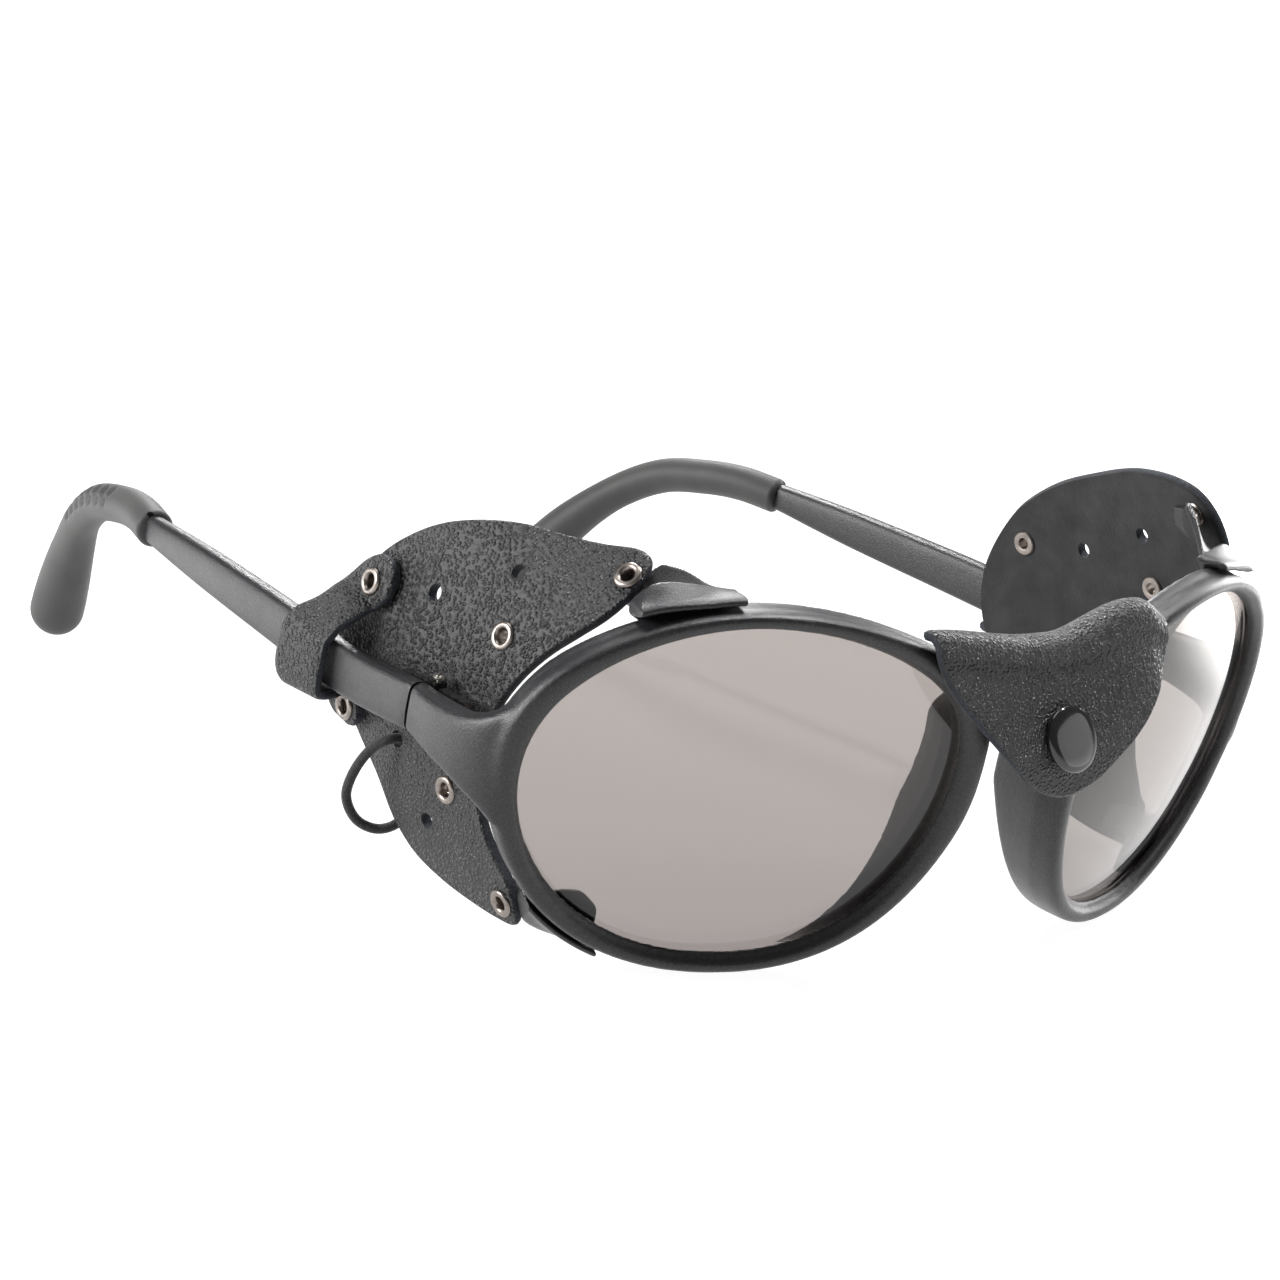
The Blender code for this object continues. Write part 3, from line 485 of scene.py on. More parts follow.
def suede_look():
    """The leather's flesh side: matte charcoal with a short nap."""
    look = Look("suede", (0.020, 0.019, 0.021), 0.95)
    look.set("Sheen Weight", 0.12)
    look.set("Sheen Roughness", 0.5)
    nap = look.noise(0.35, 4, 0.7)
    look.bump(nap, 0.14, 0.7)
    patches = look.noise(4.0, 4, 0.6)
    look.vary("Base Color", patches, 0.3, 0.7, (0.012, 0.012, 0.013), (0.028, 0.027, 0.029))
    return look


def edge_look():
    """The leather's cut edge: rough, dyed blue-black."""
    look = Look("leather_edge", (0.014, 0.017, 0.024), 0.8)
    fibres = look.noise(0.4, 4, 0.7)
    look.bump(fibres, 0.18, 0.8)
    look.vary("Base Color", fibres, 0.35, 0.7, (0.007, 0.009, 0.014), (0.035, 0.040, 0.052))
    return look


def rubber_look():
    """Matte black rubber with a soft bloom."""
    look = Look("rubber", (0.030, 0.030, 0.031), 0.58)
    look.set("Sheen Weight", 0.08)
    look.bump(look.noise(0.3, 3), 0.03, 0.5)
    bloom = look.noise(6, 3)
    look.vary("Base Color", bloom, 0.3, 0.7, (0.025, 0.024, 0.024), (0.038, 0.037, 0.036))
    return look


def nickel_look():
    """Aged, slightly rosy nickel that is dull and dark in its hollows."""
    look = Look("nickel", (0.30, 0.265, 0.24), 0.30, 1.0)
    dirt = look.noise(0.9, 4, 0.6)
    look.vary("Base Color", dirt, 0.3, 0.7, (0.20, 0.175, 0.16), (0.36, 0.32, 0.29))
    look.vary("Roughness", dirt, 0.3, 0.7, 0.38, 0.26)
    look.bump(dirt, 0.01, 0.3)
    return look


def steel_look():
    """Plain steel, finely turned."""
    look = Look("steel", (0.56, 0.53, 0.48), 0.28, 1.0)
    marks = look.noise(0.25, 3)
    look.vary("Roughness", marks, 0.3, 0.7, 0.22, 0.40)
    look.bump(marks, 0.01, 0.4)
    return look


def blacked_look():
    """Steel with a worn black oxide skin, on the hinge's leaves and the core wires."""
    look = Look("blacked_steel", (0.07, 0.07, 0.072), 0.4, 1.0)
    worn = look.noise(0.8, 4, 0.6)
    look.vary("Base Color", worn, 0.35, 0.75, (0.045, 0.045, 0.047), (0.13, 0.125, 0.12))
    look.vary("Roughness", worn, 0.3, 0.7, 0.34, 0.5)
    return look


def lacquer_look():
    """Black gloss lacquer on the press stud's cap, with a few fine specks."""
    look = Look("lacquer", (0.013, 0.013, 0.014), 0.10)
    look.set("Coat Weight", 0.6)
    look.set("Coat Roughness", 0.03)
    specks = look.noise(0.25, 2)
    look.vary("Base Color", specks, 0.70, 0.74, (0.013, 0.013, 0.014), (0.09, 0.085, 0.08))
    look.vary("Roughness", look.noise(2.5), 0.3, 0.7, 0.08, 0.16)
    return look


def elastic_look():
    """Black braided elastic: small diamonds of thread."""
    look = Look("elastic", (0.014, 0.014, 0.016), 0.78)
    look.set("Sheen Weight", 0.2)
    threads = look.cells(0.34, 0.05)
    look.bump(threads, 0.10, 0.8)
    look.vary("Base Color", threads, 0.1, 0.6, (0.024, 0.024, 0.027), (0.008, 0.008, 0.009))
    return look


def glass_look():
    """Warm grey glass that shows what is behind it, darker towards its bottom."""
    look = Look("lens_glass", (0.42, 0.38, 0.36), 0.0)
    look.set("Transmission Weight", 1.0)
    look.set("IOR", 1.5)
    height = new_node(look.tree, "SeparateXYZ")
    look.link(look.where, height.inputs[0])
    rise = new_node(look.tree, "MapRange", From_Min=2 * MM, From_Max=47 * MM)
    look.link(height.outputs["Z"], rise.inputs["Value"])
    look.vary("Base Color", rise.outputs[0], 0.0, 1.0, (0.29, 0.26, 0.25), (0.36, 0.325, 0.305))
    return look


NYLON, SKIN, SUEDE, CUT, RUBBER, NICKEL, STEEL, LACQUER, ELASTIC, GLASS, BLACKED = (
    look().material for look in (nylon_look, leather_look, suede_look, edge_look, rubber_look,
                                 nickel_look, steel_look, lacquer_look, elastic_look,
                                 glass_look, blacked_look))
HIDE = [SKIN, SUEDE, CUT]


def stands_for(made, node, body=None):
    """Hide the CAD node that an object replaces, and attach the object to the body it rides if one
    is given.
    """
    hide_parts(node)
    if body:
        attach(made, body)


# --- the rims' own surface ---
OVAL_TEMPLE, OVAL_NASAL = 2.0, 2.15       # powers of the oval's two halves
END_LIFT_TEMPLE, END_LIFT_NASAL, OVAL_DROP = 1.8, 4.5, 0.5


def outline(theta, grow_w=0.0, grow_h=0.0):
    """(u, v) on the opening's oval: u outward, v up.  Its ends lie higher than its middle."""
    c, s = math.cos(theta), math.sin(theta)
    power = OVAL_TEMPLE if c > 0 else OVAL_NASAL
    u = (LENS_HALF_W + grow_w) * math.copysign(abs(c) ** (2 / power), c)
    v = (LENS_HALF_H + grow_h) * math.copysign(abs(s) ** (2 / power), s)
    lift = (END_LIFT_TEMPLE if c > 0 else END_LIFT_NASAL) * (u / LENS_HALF_W) ** 4
    return u, v + lift - OVAL_DROP


def on_rim(side, u, n, v):
    """The point at (u, v) on the lens surface, n behind it."""
    n = n + (u * u + v * v) / (2 * BASE_RADIUS)
    back = n * math.cos(TILT) - v * math.sin(TILT)
    up = v * math.cos(TILT) + n * math.sin(TILT)
    x = u * math.cos(WRAP) - back * math.sin(WRAP)
    y = u * math.sin(WRAP) + back * math.cos(WRAP)
    return Vector((side * (LENS_X + x), y, LENS_Z + up))


def rim_back(u, v):
    """Depth of the rim: the nasal side grows into a flange that fades towards the bottom."""
    deep = min(max(12.6 + 0.34 * v, RIM_BACK), FLANGE_BACK)
    nasal = smooth(-u, 0, 14) * (1 - smooth(v, 6, 15))
    return RIM_BACK + (deep - RIM_BACK) * nasal


def face_width(theta):
    """Width of the rim's face at its sides: the lower nasal part is broader."""
    return FACE_SIDE + 0.8 * smooth(-math.cos(theta), 0.3, 0.8) * smooth(-math.sin(theta), 0, 0.4)


def rim_ring(side, theta):
    """The rim's section: an inner step, a soft face, a groove along the outer wall."""
    back = rim_back(*outline(theta))
    groove = 0.06 * smooth(math.sin(theta), -0.1, 0.3)
    step = (0.35 + 0.45 * smooth(-math.sin(theta), -0.2, 0.7)
            - 0.25 * smooth(math.cos(theta), 0.5, 0.9))
    # share of the face's width, depth behind the lens surface, and how far it steps inward
    section = ((0, LIP, step), (0, 0.35, step), (0, 0.05, step - 0.25), (0, 0.0, 0.1),
               (0.03, -0.35, 0), (0.12, -0.75, 0), (0.34, -1.05, 0), (0.62, -1.1, 0),
               (0.84, -0.92, 0), (0.97, -0.35, 0), (1.0, 0.45, 0), (1.0, 1.1, 0),
               (1 - groove, 1.3, 0), (1 - groove, 1.75, 0), (1.0, 1.95, 0), (1.0, 3.0, 0),
               (1.0, back - 0.5, 0), (0.90, back, 0))
    ring = []
    for share, n, inward in section:
        u, v = outline(theta, share * face_width(theta) - inward, share * FACE_TOP - inward)
        ring.append(on_rim(side, u + max(n - RIM_BACK, 0) * math.tan(WRAP), n, v))
    u, v = outline(theta, SEAT, SEAT)
    lean = (back - RIM_BACK) * math.tan(WRAP)
    ring += [on_rim(side, u + lean, back, v), on_rim(side, u, RIM_BACK - 0.1, v),
             on_rim(side, u, LIP, v)]
    return rounded(ring, 1)


# the lug's sections: middle x, y, z, half height, half thickness, and its way across
LUG = ((66.1, 13.4, 26.3, 8.0, 1.9, 0.60, -0.80), (67.2, 15.6, 26.4, 6.0, 2.0, 0.80, -0.60),
       (67.5, 19.0, 26.6, 4.5, 2.1, 0.99, -0.05), (67.0, 23.5, 26.9, 3.7, 2.1, 0.99, 0.12),
       (66.3, 28.0, 27.2, 3.3, 1.8, 0.99, 0.12), (65.9, 31.0, 27.5, 3.2, 1.6, 1.00, 0.00))


def bar_ring(centre, way, half_side, half_up, corner):
    """A rounded rectangle across a bar: way is horizontal, the other way is +Z."""
    up = Vector((0, 0, 1))
    corners = []
    for a, b in ((-1, -1), (1, -1), (1, 1), (-1, 1)):
        for p, q in ((0, corner), (corner, 0)) if a * b > 0 else ((corner, 0), (0, corner)):
            corners.append(centre + way * a * (half_side - p) + up * b * (half_up - q))
    return rounded(corners, 2)


def bridge_ring(x):
    """The bridge's section at x: it lies a little further back and lower at its ends."""
    outward = smooth(abs(x), 4, BRIDGE_HALF - 0.5)
    size = 1.0 - 0.5 * smooth(abs(x), 8, BRIDGE_HALF)
    centre = Vector((x, -8.6 + 1.2 * outward, 41.2 - 1.4 * outward))
    return [centre + Vector((0, 2.0 * math.cos(a), 2.6 * math.sin(a))) * size
            for a in circle(24)]


def softly(point):
    """How much the moulding is melted at a point: at the lugs' roots and at the bridge."""
    x, y, z = abs(point.x), point.y + MIDDLE_Y, point.z
    lug_root = smooth(x, 60, 63.5) * (1 - smooth(y, 20, 26)) * (1 - smooth(abs(z - 26), 9, 14))
    return max(lug_root, 0.8 * (1 - smooth(x, 12, 17)) * smooth(z, 33, 37))


def front_frame():
    """Both rims, their lugs and the bridge, melted into one moulding."""
    parts = []
    for side, word in SIDES:
        rings = [rim_ring(side, a) for a in circle(240)]
        parts.append(loft(f"{word}_rim", rings, NYLON, closed=True))
        rings = []
        for x, y, z, half_h, half_t, wx, wy in spline(LUG, 31):
            way = Vector((side * wx, wy, 0)).normalized()
            rings.append(bar_ring(mirrored(side, x, y, z), way, half_t, half_h, 0.8))
        parts.append(loft(f"{word}_lug", rings, NYLON))
    rings = [bridge_ring(2 * BRIDGE_HALF * i / 24 - BRIDGE_HALF) for i in range(25)]
    parts.append(loft("bridge", rings, NYLON))
    made = joined("moulded_front", parts)
    moulded(made, FRAME_VOXEL, 3, softly)
    above_floor(made)
    stands_for(made, "front_frame", "frame")


# --- lenses ---
def lens(side, word):
    """A domed glass in the rim's seat, with a small bevel round its edge."""
    steps = 160
    shares = (1.0, 0.992, 0.96, 0.9, 0.8, 0.68, 0.54, 0.4, 0.26, 0.12)
    edge = [outline(theta, SEAT - GAP, SEAT - GAP) for theta in circle(steps)]
    verts, faces = [], []
    front = LIP + GAP
    for depth, bevel in ((front, 0.25), (front + LENS_THICK, -0.25)):
        base = len(verts)
        for share in shares:
            n = depth - LENS_BULGE * (1 - share * share) + (bevel if share == 1 else 0)
            verts += [on_rim(side, u * share, n, v * share) for u, v in edge]
        verts.append(on_rim(side, 0, depth - LENS_BULGE, 0))
        faces += quads(base, len(shares), steps)
        faces += fan(base + (len(shares) - 1) * steps, steps, len(verts) - 1)
    faces += [(k, (k + 1) % steps, base + (k + 1) % steps, base + k) for k in range(steps)]
    made = piece(f"{word}_glass", verts, faces, [GLASS])
    stands_for(made, f"{word}_lens", "frame")


# --- temples and ear hooks ---
# the blade's sections: middle x, y, z, half height and half thickness
TEMPLE = ((65.9, 31.3, 27.5, 3.2, 1.6), (63.9, 45.0, 26.4, 3.2, 1.6),
          (62.7, 55.0, 26.6, 3.2, 1.6), (61.5, 65.0, 27.1, 3.1, 1.6),
          (59.3, 84.0, 27.8, 2.7, 1.5), (57.7, 98.0, 28.3, 2.0, 1.4),
          (57.1, 100.5, 28.4, 1.9, 1.4))
SLEEVE = ((57.5, 98.8, 28.35), (55.6, 105.0, 28.6), (53.9, 111.2, 27.8), (52.2, 118.8, 25.7),
          (49.8, 125.5, 21.3), (46.8, 131.0, 15.2), (44.6, 135.0, 8.9), (43.2, 137.6, 3.7))
SLEEVE_R = 2.6
SLEEVE_POINTS, BULB_POINTS = 170, 12
BULB_SWELL = 1.25                        # how much thicker the hook is at its end
GROOVE_DEPTH, GROOVE_HALF_W, GROOVE_HALF_ANGLE = 0.55, 0.5, 0.27
GROOVE_ANGLES = (0.78, 1.42)             # outward from the top of the bend
GROOVE_SHIFT = 1.1                       # the second row starts this much later
GROOVES = [13.6 + 2.35 * j for j in range(7)]


def temple(side, word):
    """The blade from the hinge into the mouth of the ear sleeve."""
    rings = []
    for k, (x, y, z, half_h, half_t) in enumerate(spline(TEMPLE, 90)):
        shrink = 0.12 if k == 0 else 0.0
        rings.append(bar_ring(mirrored(side, x, y, z), Vector((side, 0, 0)), half_t - shrink,
                              half_h - shrink, 0.75))
    made = loft(f"{word}_blade", rings, NYLON)
    made.data.set_sharp_from_angle(angle=math.radians(60))
    stands_for(made, f"{word}_temple", f"{word}_temple")


def ear_sleeve(side, word):
    """The rubber hook, with two rows of short grooves round its bend and a bulb at its end."""
    path = [mirrored(side, *place) for place in spline(SLEEVE, SLEEVE_POINTS)]
    lengths = lengths_along(path)
    last = SLEEVE_POINTS - 1
    tail = (path[last] - path[last - 1]).normalized()
    bulb = SLEEVE_R + BULB_SWELL
    quarter = math.pi / 2
    for j in range(1, BULB_POINTS + 1):
        path.append(path[last] + tail * bulb * math.sin(j / BULB_POINTS * quarter) * 0.98)

    def radius(k, angle):
        if k > last:
            return max(bulb * math.cos((k - last) / BULB_POINTS * quarter), 0.02)
        at = lengths[k]
        size = SLEEVE_R + BULB_SWELL * smooth(at / lengths[last], 0.55, 1.0)
        size -= 0.5 * (1 - smooth(at, 0.0, 0.5)) ** 2
        turn = math.remainder(angle, math.tau) * side
        dent = sum(math.exp(-(abs(turn - middle) / GROOVE_HALF_ANGLE) ** 4)
                   * math.exp(-((at - groove - GROOVE_SHIFT * row) / GROOVE_HALF_W) ** 2)
                   for row, middle in enumerate(GROOVE_ANGLES) for groove in GROOVES)
        return size - GROOVE_DEPTH * dent

    made = loft(f"{word}_hook", tube_rings(path, radius, 44), RUBBER)
    notch = path[0] + Vector((side * 1.2, 0.4, SLEEVE_R - 0.4))
    drilled(made, [(notch, (side, 0, 0.6), 0.4)])
    above_floor(made)
    stands_for(made, f"{word}_ear_sleeve", f"{word}_temple")


# --- hinges ---
def hinge(side, word):
    """The leaves and the core wire keep their CAD shapes; the screw gets a slotted head."""
    for leaf in (f"{word}_hinge_frame_leaf", f"{word}_hinge_temple_leaf", f"{word}_core_wire"):
        for held in frame["nodes"][leaf].material_slots:
            held.material = BLACKED
    top, foot = 3.3, -3.4
    profile = [(0, foot), (0.38, foot), (0.45, foot + 0.1), (0.45, top), (0.86, top),
               (0.9, top + 0.08), (0.88, top + 0.3), (0.7, top + 0.5), (0.4, top + 0.58),
               (0, top + 0.6)]
    centre = mirrored(side, *HINGE)
    made = turned(f"{word}_screw", profile, centre, (0, 0, 1), STEEL, 36)
    bm = bmesh.new()
    bmesh.ops.create_cube(bm, size=1)
    slot = Matrix.Diagonal((2.4 * MM, 0.28 * MM, 0.5 * MM, 1))
    bmesh.ops.transform(bm, matrix=Matrix.Translation(put(centre + Vector((0, 0, top + 0.6))))
                        @ Matrix.Rotation(0.5, 4, "Z") @ slot, verts=bm.verts)
    cut_out(made, bm, 35)
    stands_for(made, f"{word}_hinge_screw", "frame")


# --- side leather ---
# the leather's outline from the side: its top edge from front to rear, then the rest
SHIELD_TOP = {-1: ((12.4, 51.3), (14.8, 51.8), (19.1, 51.2), (24.6, 50.8), (30.3, 50.5),
                   (36.0, 49.3), (42.0, 47.0), (47.0, 44.0), (51.0, 40.5)),
              1: ((12.6, 53.0), (15.4, 55.2), (20.0, 55.7), (26.0, 54.9), (31.0, 53.4),
                  (36.0, 51.3), (42.0, 48.4), (47.0, 45.0), (51.0, 41.2))}
SHIELD_REST = ((54.2, 36.0), (55.8, 31.0), (55.4, 26.0), (53.0, 21.5), (48.5, 17.5),
               (44.0, 13.5), (40.5, 9.0), (36.5, 5.6), (31.0, 3.8), (25.0, 3.0), (20.4, 2.8),
               (17.4, 3.2), (16.9, 5.6), (17.8, 8.4), (20.2, 11.0), (22.4, 14.2), (23.8, 18.4),
               (23.8, 24.0), (22.6, 29.5), (20.2, 34.2), (17.2, 38.4), (14.2, 41.8),
               (12.0, 44.6), (11.0, 47.2), (11.2, 49.8))
SHIELD_HEART = (38.0, 28.0)              # the outline can be seen whole from here
EYELETS = {"strap_upper": (49.0, 37.0), "strap_lower": (49.4, 21.0), "mid_upper": (24.7, 38.1),
           "mid_lower": (29.5, 16.8), "clip_upper": (12.8, 49.0), "clip_lower": (19.1, 5.6)}
LEFT_CLIP_UPPER = (15.8, 52.2)
PUNCHED = ((38.3, 39.3), (26.9, 45.3), (33.4, 11.2), (39.7, 19.9))
STRAP_LIFT = LEATHER + GAP
# the right leather curls in over its rim, and the left one stands up nearly straight
CURL = {-1: 0.2, 1: 0.03}
SHIELD_X, SHIELD_WIDEST_Z = 60.3, 26.3


def eyelet_places(side):
    """Where the eyelets sit in the side leather, as (y, z)."""
    return {**EYELETS, "clip_upper": LEFT_CLIP_UPPER} if side > 0 else EYELETS


def shield_x(side, y, z):
    """How far out the middle of the side leather lies."""
    rise = z - SHIELD_WIDEST_Z
    curl = CURL[side] * max(0, 36 - y) * max(0, rise / 23) ** 3
    return SHIELD_X - rise ** 2 / 120 - curl - 0.1 * max(0, y - 40)


def shield_frame(side, y, z):
    """The point on the leather's middle at (y, z) and its outward normal."""
    step = 0.1
    slope_y = (shield_x(side, y + step, z) - shield_x(side, y - step, z)) / (2 * step)
    slope_z = (shield_x(side, y, z + step) - shield_x(side, y, z - step)) / (2 * step)
    point = Vector((side * shield_x(side, y, z), y, z))
    return point, Vector((side, -slope_y, -slope_z)).normalized()


def side_shield(side, word):
    """The leather wall behind the rim, with its punched and its eyelets' holes."""
    edge = spline(SHIELD_TOP[side] + SHIELD_REST, 360, closed=True)
    heart = np.array(SHIELD_HEART)
    shares = [0.0, 0.008, 0.02, 0.05] + [0.05 + 0.92 * (i / 22) for i in range(1, 23)]
    rows, normals = [], []
    for share in shares:
        row, ways = [], []
        for point in edge:
            y, z = point + (heart - point) * share
            middle, way = shield_frame(side, y, z)
            ripple = 0.12 * math.sin(0.55 * y + 0.3 * z) * math.sin(0.41 * z - 0.2 * y)
            row.append(middle + way * ripple * smooth(share, 0.0, 0.3))
            ways.append(way)
        rows.append(row)
        normals.append(ways)
    made = leather_sheet(f"{word}_leather", rows, normals, polar=True)
    holes = [(*place, EYELET_HOLE_R) for place in eyelet_places(side).values()]
    holes += [(*place, PUNCHED_HOLE_R) for place in PUNCHED]
    drilled(made, [(*shield_frame(side, y, z), radius) for y, z, radius in holes])
    stands_for(made, f"{word}_side_shield")
    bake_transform(made)


def eyelet(side, word, label):
    """A rolled metal ring through the leather."""
    point, normal = shield_frame(side, *eyelet_places(side)[label])
    strapped = label.startswith("strap")
    low = -LEATHER / 2 - 0.02
    high = LEATHER / 2 + 0.02 + (STRAP_LIFT if strapped else 0)
    profile = [(0.84, low - 0.30), (1.10, low - 0.40), (1.60, low - 0.34), (1.75, low - 0.16),
               (1.72, low), (1.15, low), (1.15, high), (1.74, high), (1.83, high + 0.12),
               (1.80, high + 0.26), (1.66, high + 0.40), (1.42, high + 0.48),
               (1.18, high + 0.44), (0.99, high + 0.30), (0.88, high + 0.08), (0.84, high - 0.2)]
    made = turned(f"{word}_{label}_ring", profile, point, normal, NICKEL, 44)
    stands_for(made, f"{word}_{label}_eyelet", f"{word}_temple" if strapped else "frame")


# the strap where it goes round the temple: middle x, y, z and the normal's x and z
STRAP_OVER = ((62.3, 51.8, 33.8, 0.80, 0.60), (63.9, 53.0, 31.8, 0.70, 0.72),
              (65.7, 54.0, 29.6, 0.94, 0.34), (66.1, 54.2, 26.8, 1.0, 0.0),
              (66.1, 54.2, 24.0, 0.98, -0.20), (65.4, 54.1, 22.3, 0.70, -0.70),
              (63.3, 54.0, 21.8, 0.10, -1.0), (61.6, 54.2, 21.8, 0.0, -1.0),
              (60.6, 54.3, 21.8, 0.0, -1.0))
STRAP_WIDTHS = (3.0, 3.1, 3.3, 3.4, 3.5, 3.8, 4.3, 4.4, 4.3, 3.9, 3.1, 2.6, 2.6)
TAB_WIDTHS = (2.0, 2.2, 2.2, 2.2, 2.2)


def on_leather(side, places):
    """Middles and outward normals of a band that lies on the side leather."""
    frames = [shield_frame(side, y, z) for y, z in places]
    return [(point + normal * STRAP_LIFT, normal) for point, normal in frames]


def band(name, ways, widths, round_last):
    """A leather band along middles and normals, with a round start and maybe a round end."""
    fine = spline([(*middle, *normal, width) for (middle, normal), width in zip(ways, widths)],
                  150)
    middles = [Vector(row[:3]) for row in fine]
    lengths = lengths_along(middles)
    rows, normals = [], []
    columns = 13
    for k, row in enumerate(fine):
        normal = Vector(row[3:6]).normalized()
        along = middles[min(k + 1, len(fine) - 1)] - middles[max(k - 1, 0)]
        across = along.cross(normal).normalized()
        width = row[6]
        near_end = lengths[k]
        if round_last:
            near_end = min(near_end, lengths[-1] - lengths[k])
        if near_end < width:
            width *= math.sqrt(max(1 - (1 - near_end / width) ** 2, 0.004))
        rows.append([middles[k] + across * width * (2 * j / (columns - 1) - 1)
                     for j in range(columns)])
        normals.append([normal] * columns)
    return leather_sheet(name, rows, normals)


def temple_strap(side, word):
    """The leather band round the temple, and the tab under it that takes the lower eyelet."""
    ways = on_leather(side, ((45.6, 39.3), (47.2, 38.2), (49.0, 37.0), (50.4, 35.6)))
    for x, y, z, out, up in STRAP_OVER:
        ways.append((mirrored(side, x, y, z), Vector((side * out, 0, up)).normalized()))
    tab = on_leather(side, ((46.7, 20.5), (47.8, 20.7), (49.4, 21.0), (51.2, 21.3), (53.6, 21.7)))
    made = joined(f"{word}_band", [band("over", ways, STRAP_WIDTHS, False),
                                   band("tab", tab, TAB_WIDTHS, True)])
    drilled(made, [(*shield_frame(side, *EYELETS[label]), EYELET_HOLE_R)
                   for label in ("strap_upper", "strap_lower")])
    stands_for(made, f"{word}_temple_strap", f"{word}_temple")


# --- clips ---
# angle round the rim in degrees, height of the fin, how far it reaches in behind the rim
UPPER_FIN = ((57, 0.8, 0), (59.5, 1.7, 0.5), (62, 2.3, 0.8), (66, 2.3, 0.8), (71, 1.9, 0.7),
             (76, 1.3, 0.4), (82, 0.6, 0))
LOWER_FIN = ((-44, 1.6, 0), (-47, 3.2, 0.6), (-51, 3.0, 1.0), (-56, 2.2, 1.0),
             (-61, 1.2, 0.8), (-66, 0.5, 0))
# where the plates start on the rims: two angles in degrees, and the height above the rim
TONGUE_ROOTS = {"upper": (59, 80, 0.6), "lower": (-47, -55, -0.4)}
TONGUE_HALF_W, TONGUE_HALF_T = 2.2, 0.55
FIN_LIFT = 0.9                           # the upper fin's front end stands off the rim


def tongue_rings(side, label, sign):
    """Sections of the plate that sweeps from the fin's rear to behind the leather's eyelet."""
    point, normal = shield_frame(side, *eyelet_places(side)[f"clip_{label}"])
    under = point - normal * (LEATHER / 2 + 2 * GAP + 0.4 + 0.8)
    roots = []
    *angles, rise = TONGUE_ROOTS[label]
    for degrees in angles:
        u, v = outline(math.radians(degrees), FACE_SIDE, FACE_TOP)
        roots.append(on_rim(side, u, 4.5, v + sign * rise))
    along = under - (roots[0] + roots[1]) / 2
    along = (along - normal * along.dot(normal)).normalized()
    across = roots[1] - roots[0]
    across = across - normal * across.dot(normal)
    across = (across - along * across.dot(along)).normalized()
    ends = [under - across * TONGUE_HALF_W, under + across * TONGUE_HALF_W]
    bend = (roots[0] * 0.35 + roots[1] * 0.65) * 0.5 + ends[1] * 0.5
    rings = []
    for k in range(17):
        t = k / 16
        left = roots[0].lerp(ends[0], t)
        right = roots[1] * (1 - t) ** 2 + bend * 2 * t * (1 - t) + ends[1] * t * t
        if sign > 0:
            right += across * 2.2 * smooth(t, 0.0, 0.6) * (1 - smooth(t, 0.8, 1.0))
        thick = (right - left).cross(along).normalized() * TONGUE_HALF_T
        if thick.dot(normal) < 0:
            thick = -thick
        sag = thick * -0.8 * 4 * t * (1 - t)
        rings.append([left - thick, (left + right) / 2 - thick + sag, right - thick,
                      right + thick, (left + right) / 2 + thick + sag, left + thick])
    tip, thick = under + along * 1.8, normal * 0.5
    a, b = tip - across * 1.5, tip + across * 1.5
    rings.append([a - thick, tip - thick, b - thick, b + thick, tip + thick, a + thick])
    return rings


def clip(side, word, label, sign, stations):
    """A fin that hooks over the rim's edge, with a plate that runs to behind the leather."""
    rings = []
    for degrees, height, reach in spline(stations, 40):
        theta = math.radians(degrees)
        u_out, v_out = outline(theta, FACE_SIDE + GAP, FACE_TOP + GAP)
        width = (FACE_SIDE + GAP) * (1 - reach) - CLIP_TAB * reach
        tall = (FACE_TOP + GAP) * (1 - reach) - CLIP_TAB * reach
        u_in, v_in = outline(theta, width, tall)
        lift = FIN_LIFT * (1 - smooth(degrees, 57, 76)) if sign > 0 else 0.0
        v_front = v_out + lift
        peak, inward = v_front + sign * height, v_in + sign * 0.1
        behind = RIM_BACK + GAP
        ring = [(u_out, 0.5, v_front + sign * 0.15), (u_out, 0.5, v_front + sign * 0.9),
                (u_out, 1.1, v_front + sign * 1.15),
                (u_out, 2.2, v_front + sign * (1.0 + 0.15 * height)),
                (u_out, 4.1, peak), (u_out, 5.0, peak), (u_in, 5.0, inward),
                (u_in, behind, inward), (u_out, behind, v_out + sign * 0.15)]
        rings.append(rounded([on_rim(side, *place) for place in ring], 1))
    fin = loft(f"{word}_{label}_fin", rings, NYLON)
    tongue = loft(f"{word}_{label}_tongue", tongue_rings(side, label, sign), NYLON)
    made = joined(f"{word}_{label}_hook", [fin, tongue])
    moulded(made, CLIP_VOXEL, 9)
    stands_for(made, f"{word}_{label}_clip", "frame")


# --- elastic loop ---
ELASTIC_PATH = ((57.9, 39.7, 19.9), (60.2, 39.7, 19.9), (61.9, 39.9, 19.7), (62.9, 41.6, 18.0),
                (63.5, 43.4, 14.6), (63.3, 44.5, 10.8), (61.9, 43.8, 7.9), (59.8, 42.4, 6.8),
                (57.4, 41.6, 7.2), (55.7, 40.8, 9.2), (55.1, 39.9, 12.0), (55.3, 39.2, 15.0))


def elastic_loop(side, word):
    """The elastic cord's loop: out of its hole, round the leather's rear edge and back."""
    path = [mirrored(side, *place) for place in spline(ELASTIC_PATH, 90)]
    rings = tube_rings(path, lambda k, angle: ELASTIC_R, 20)
    made = loft(f"{word}_elastic", rings, ELASTIC)
    stands_for(made, f"{word}_elastic_loop", f"{word}_temple")


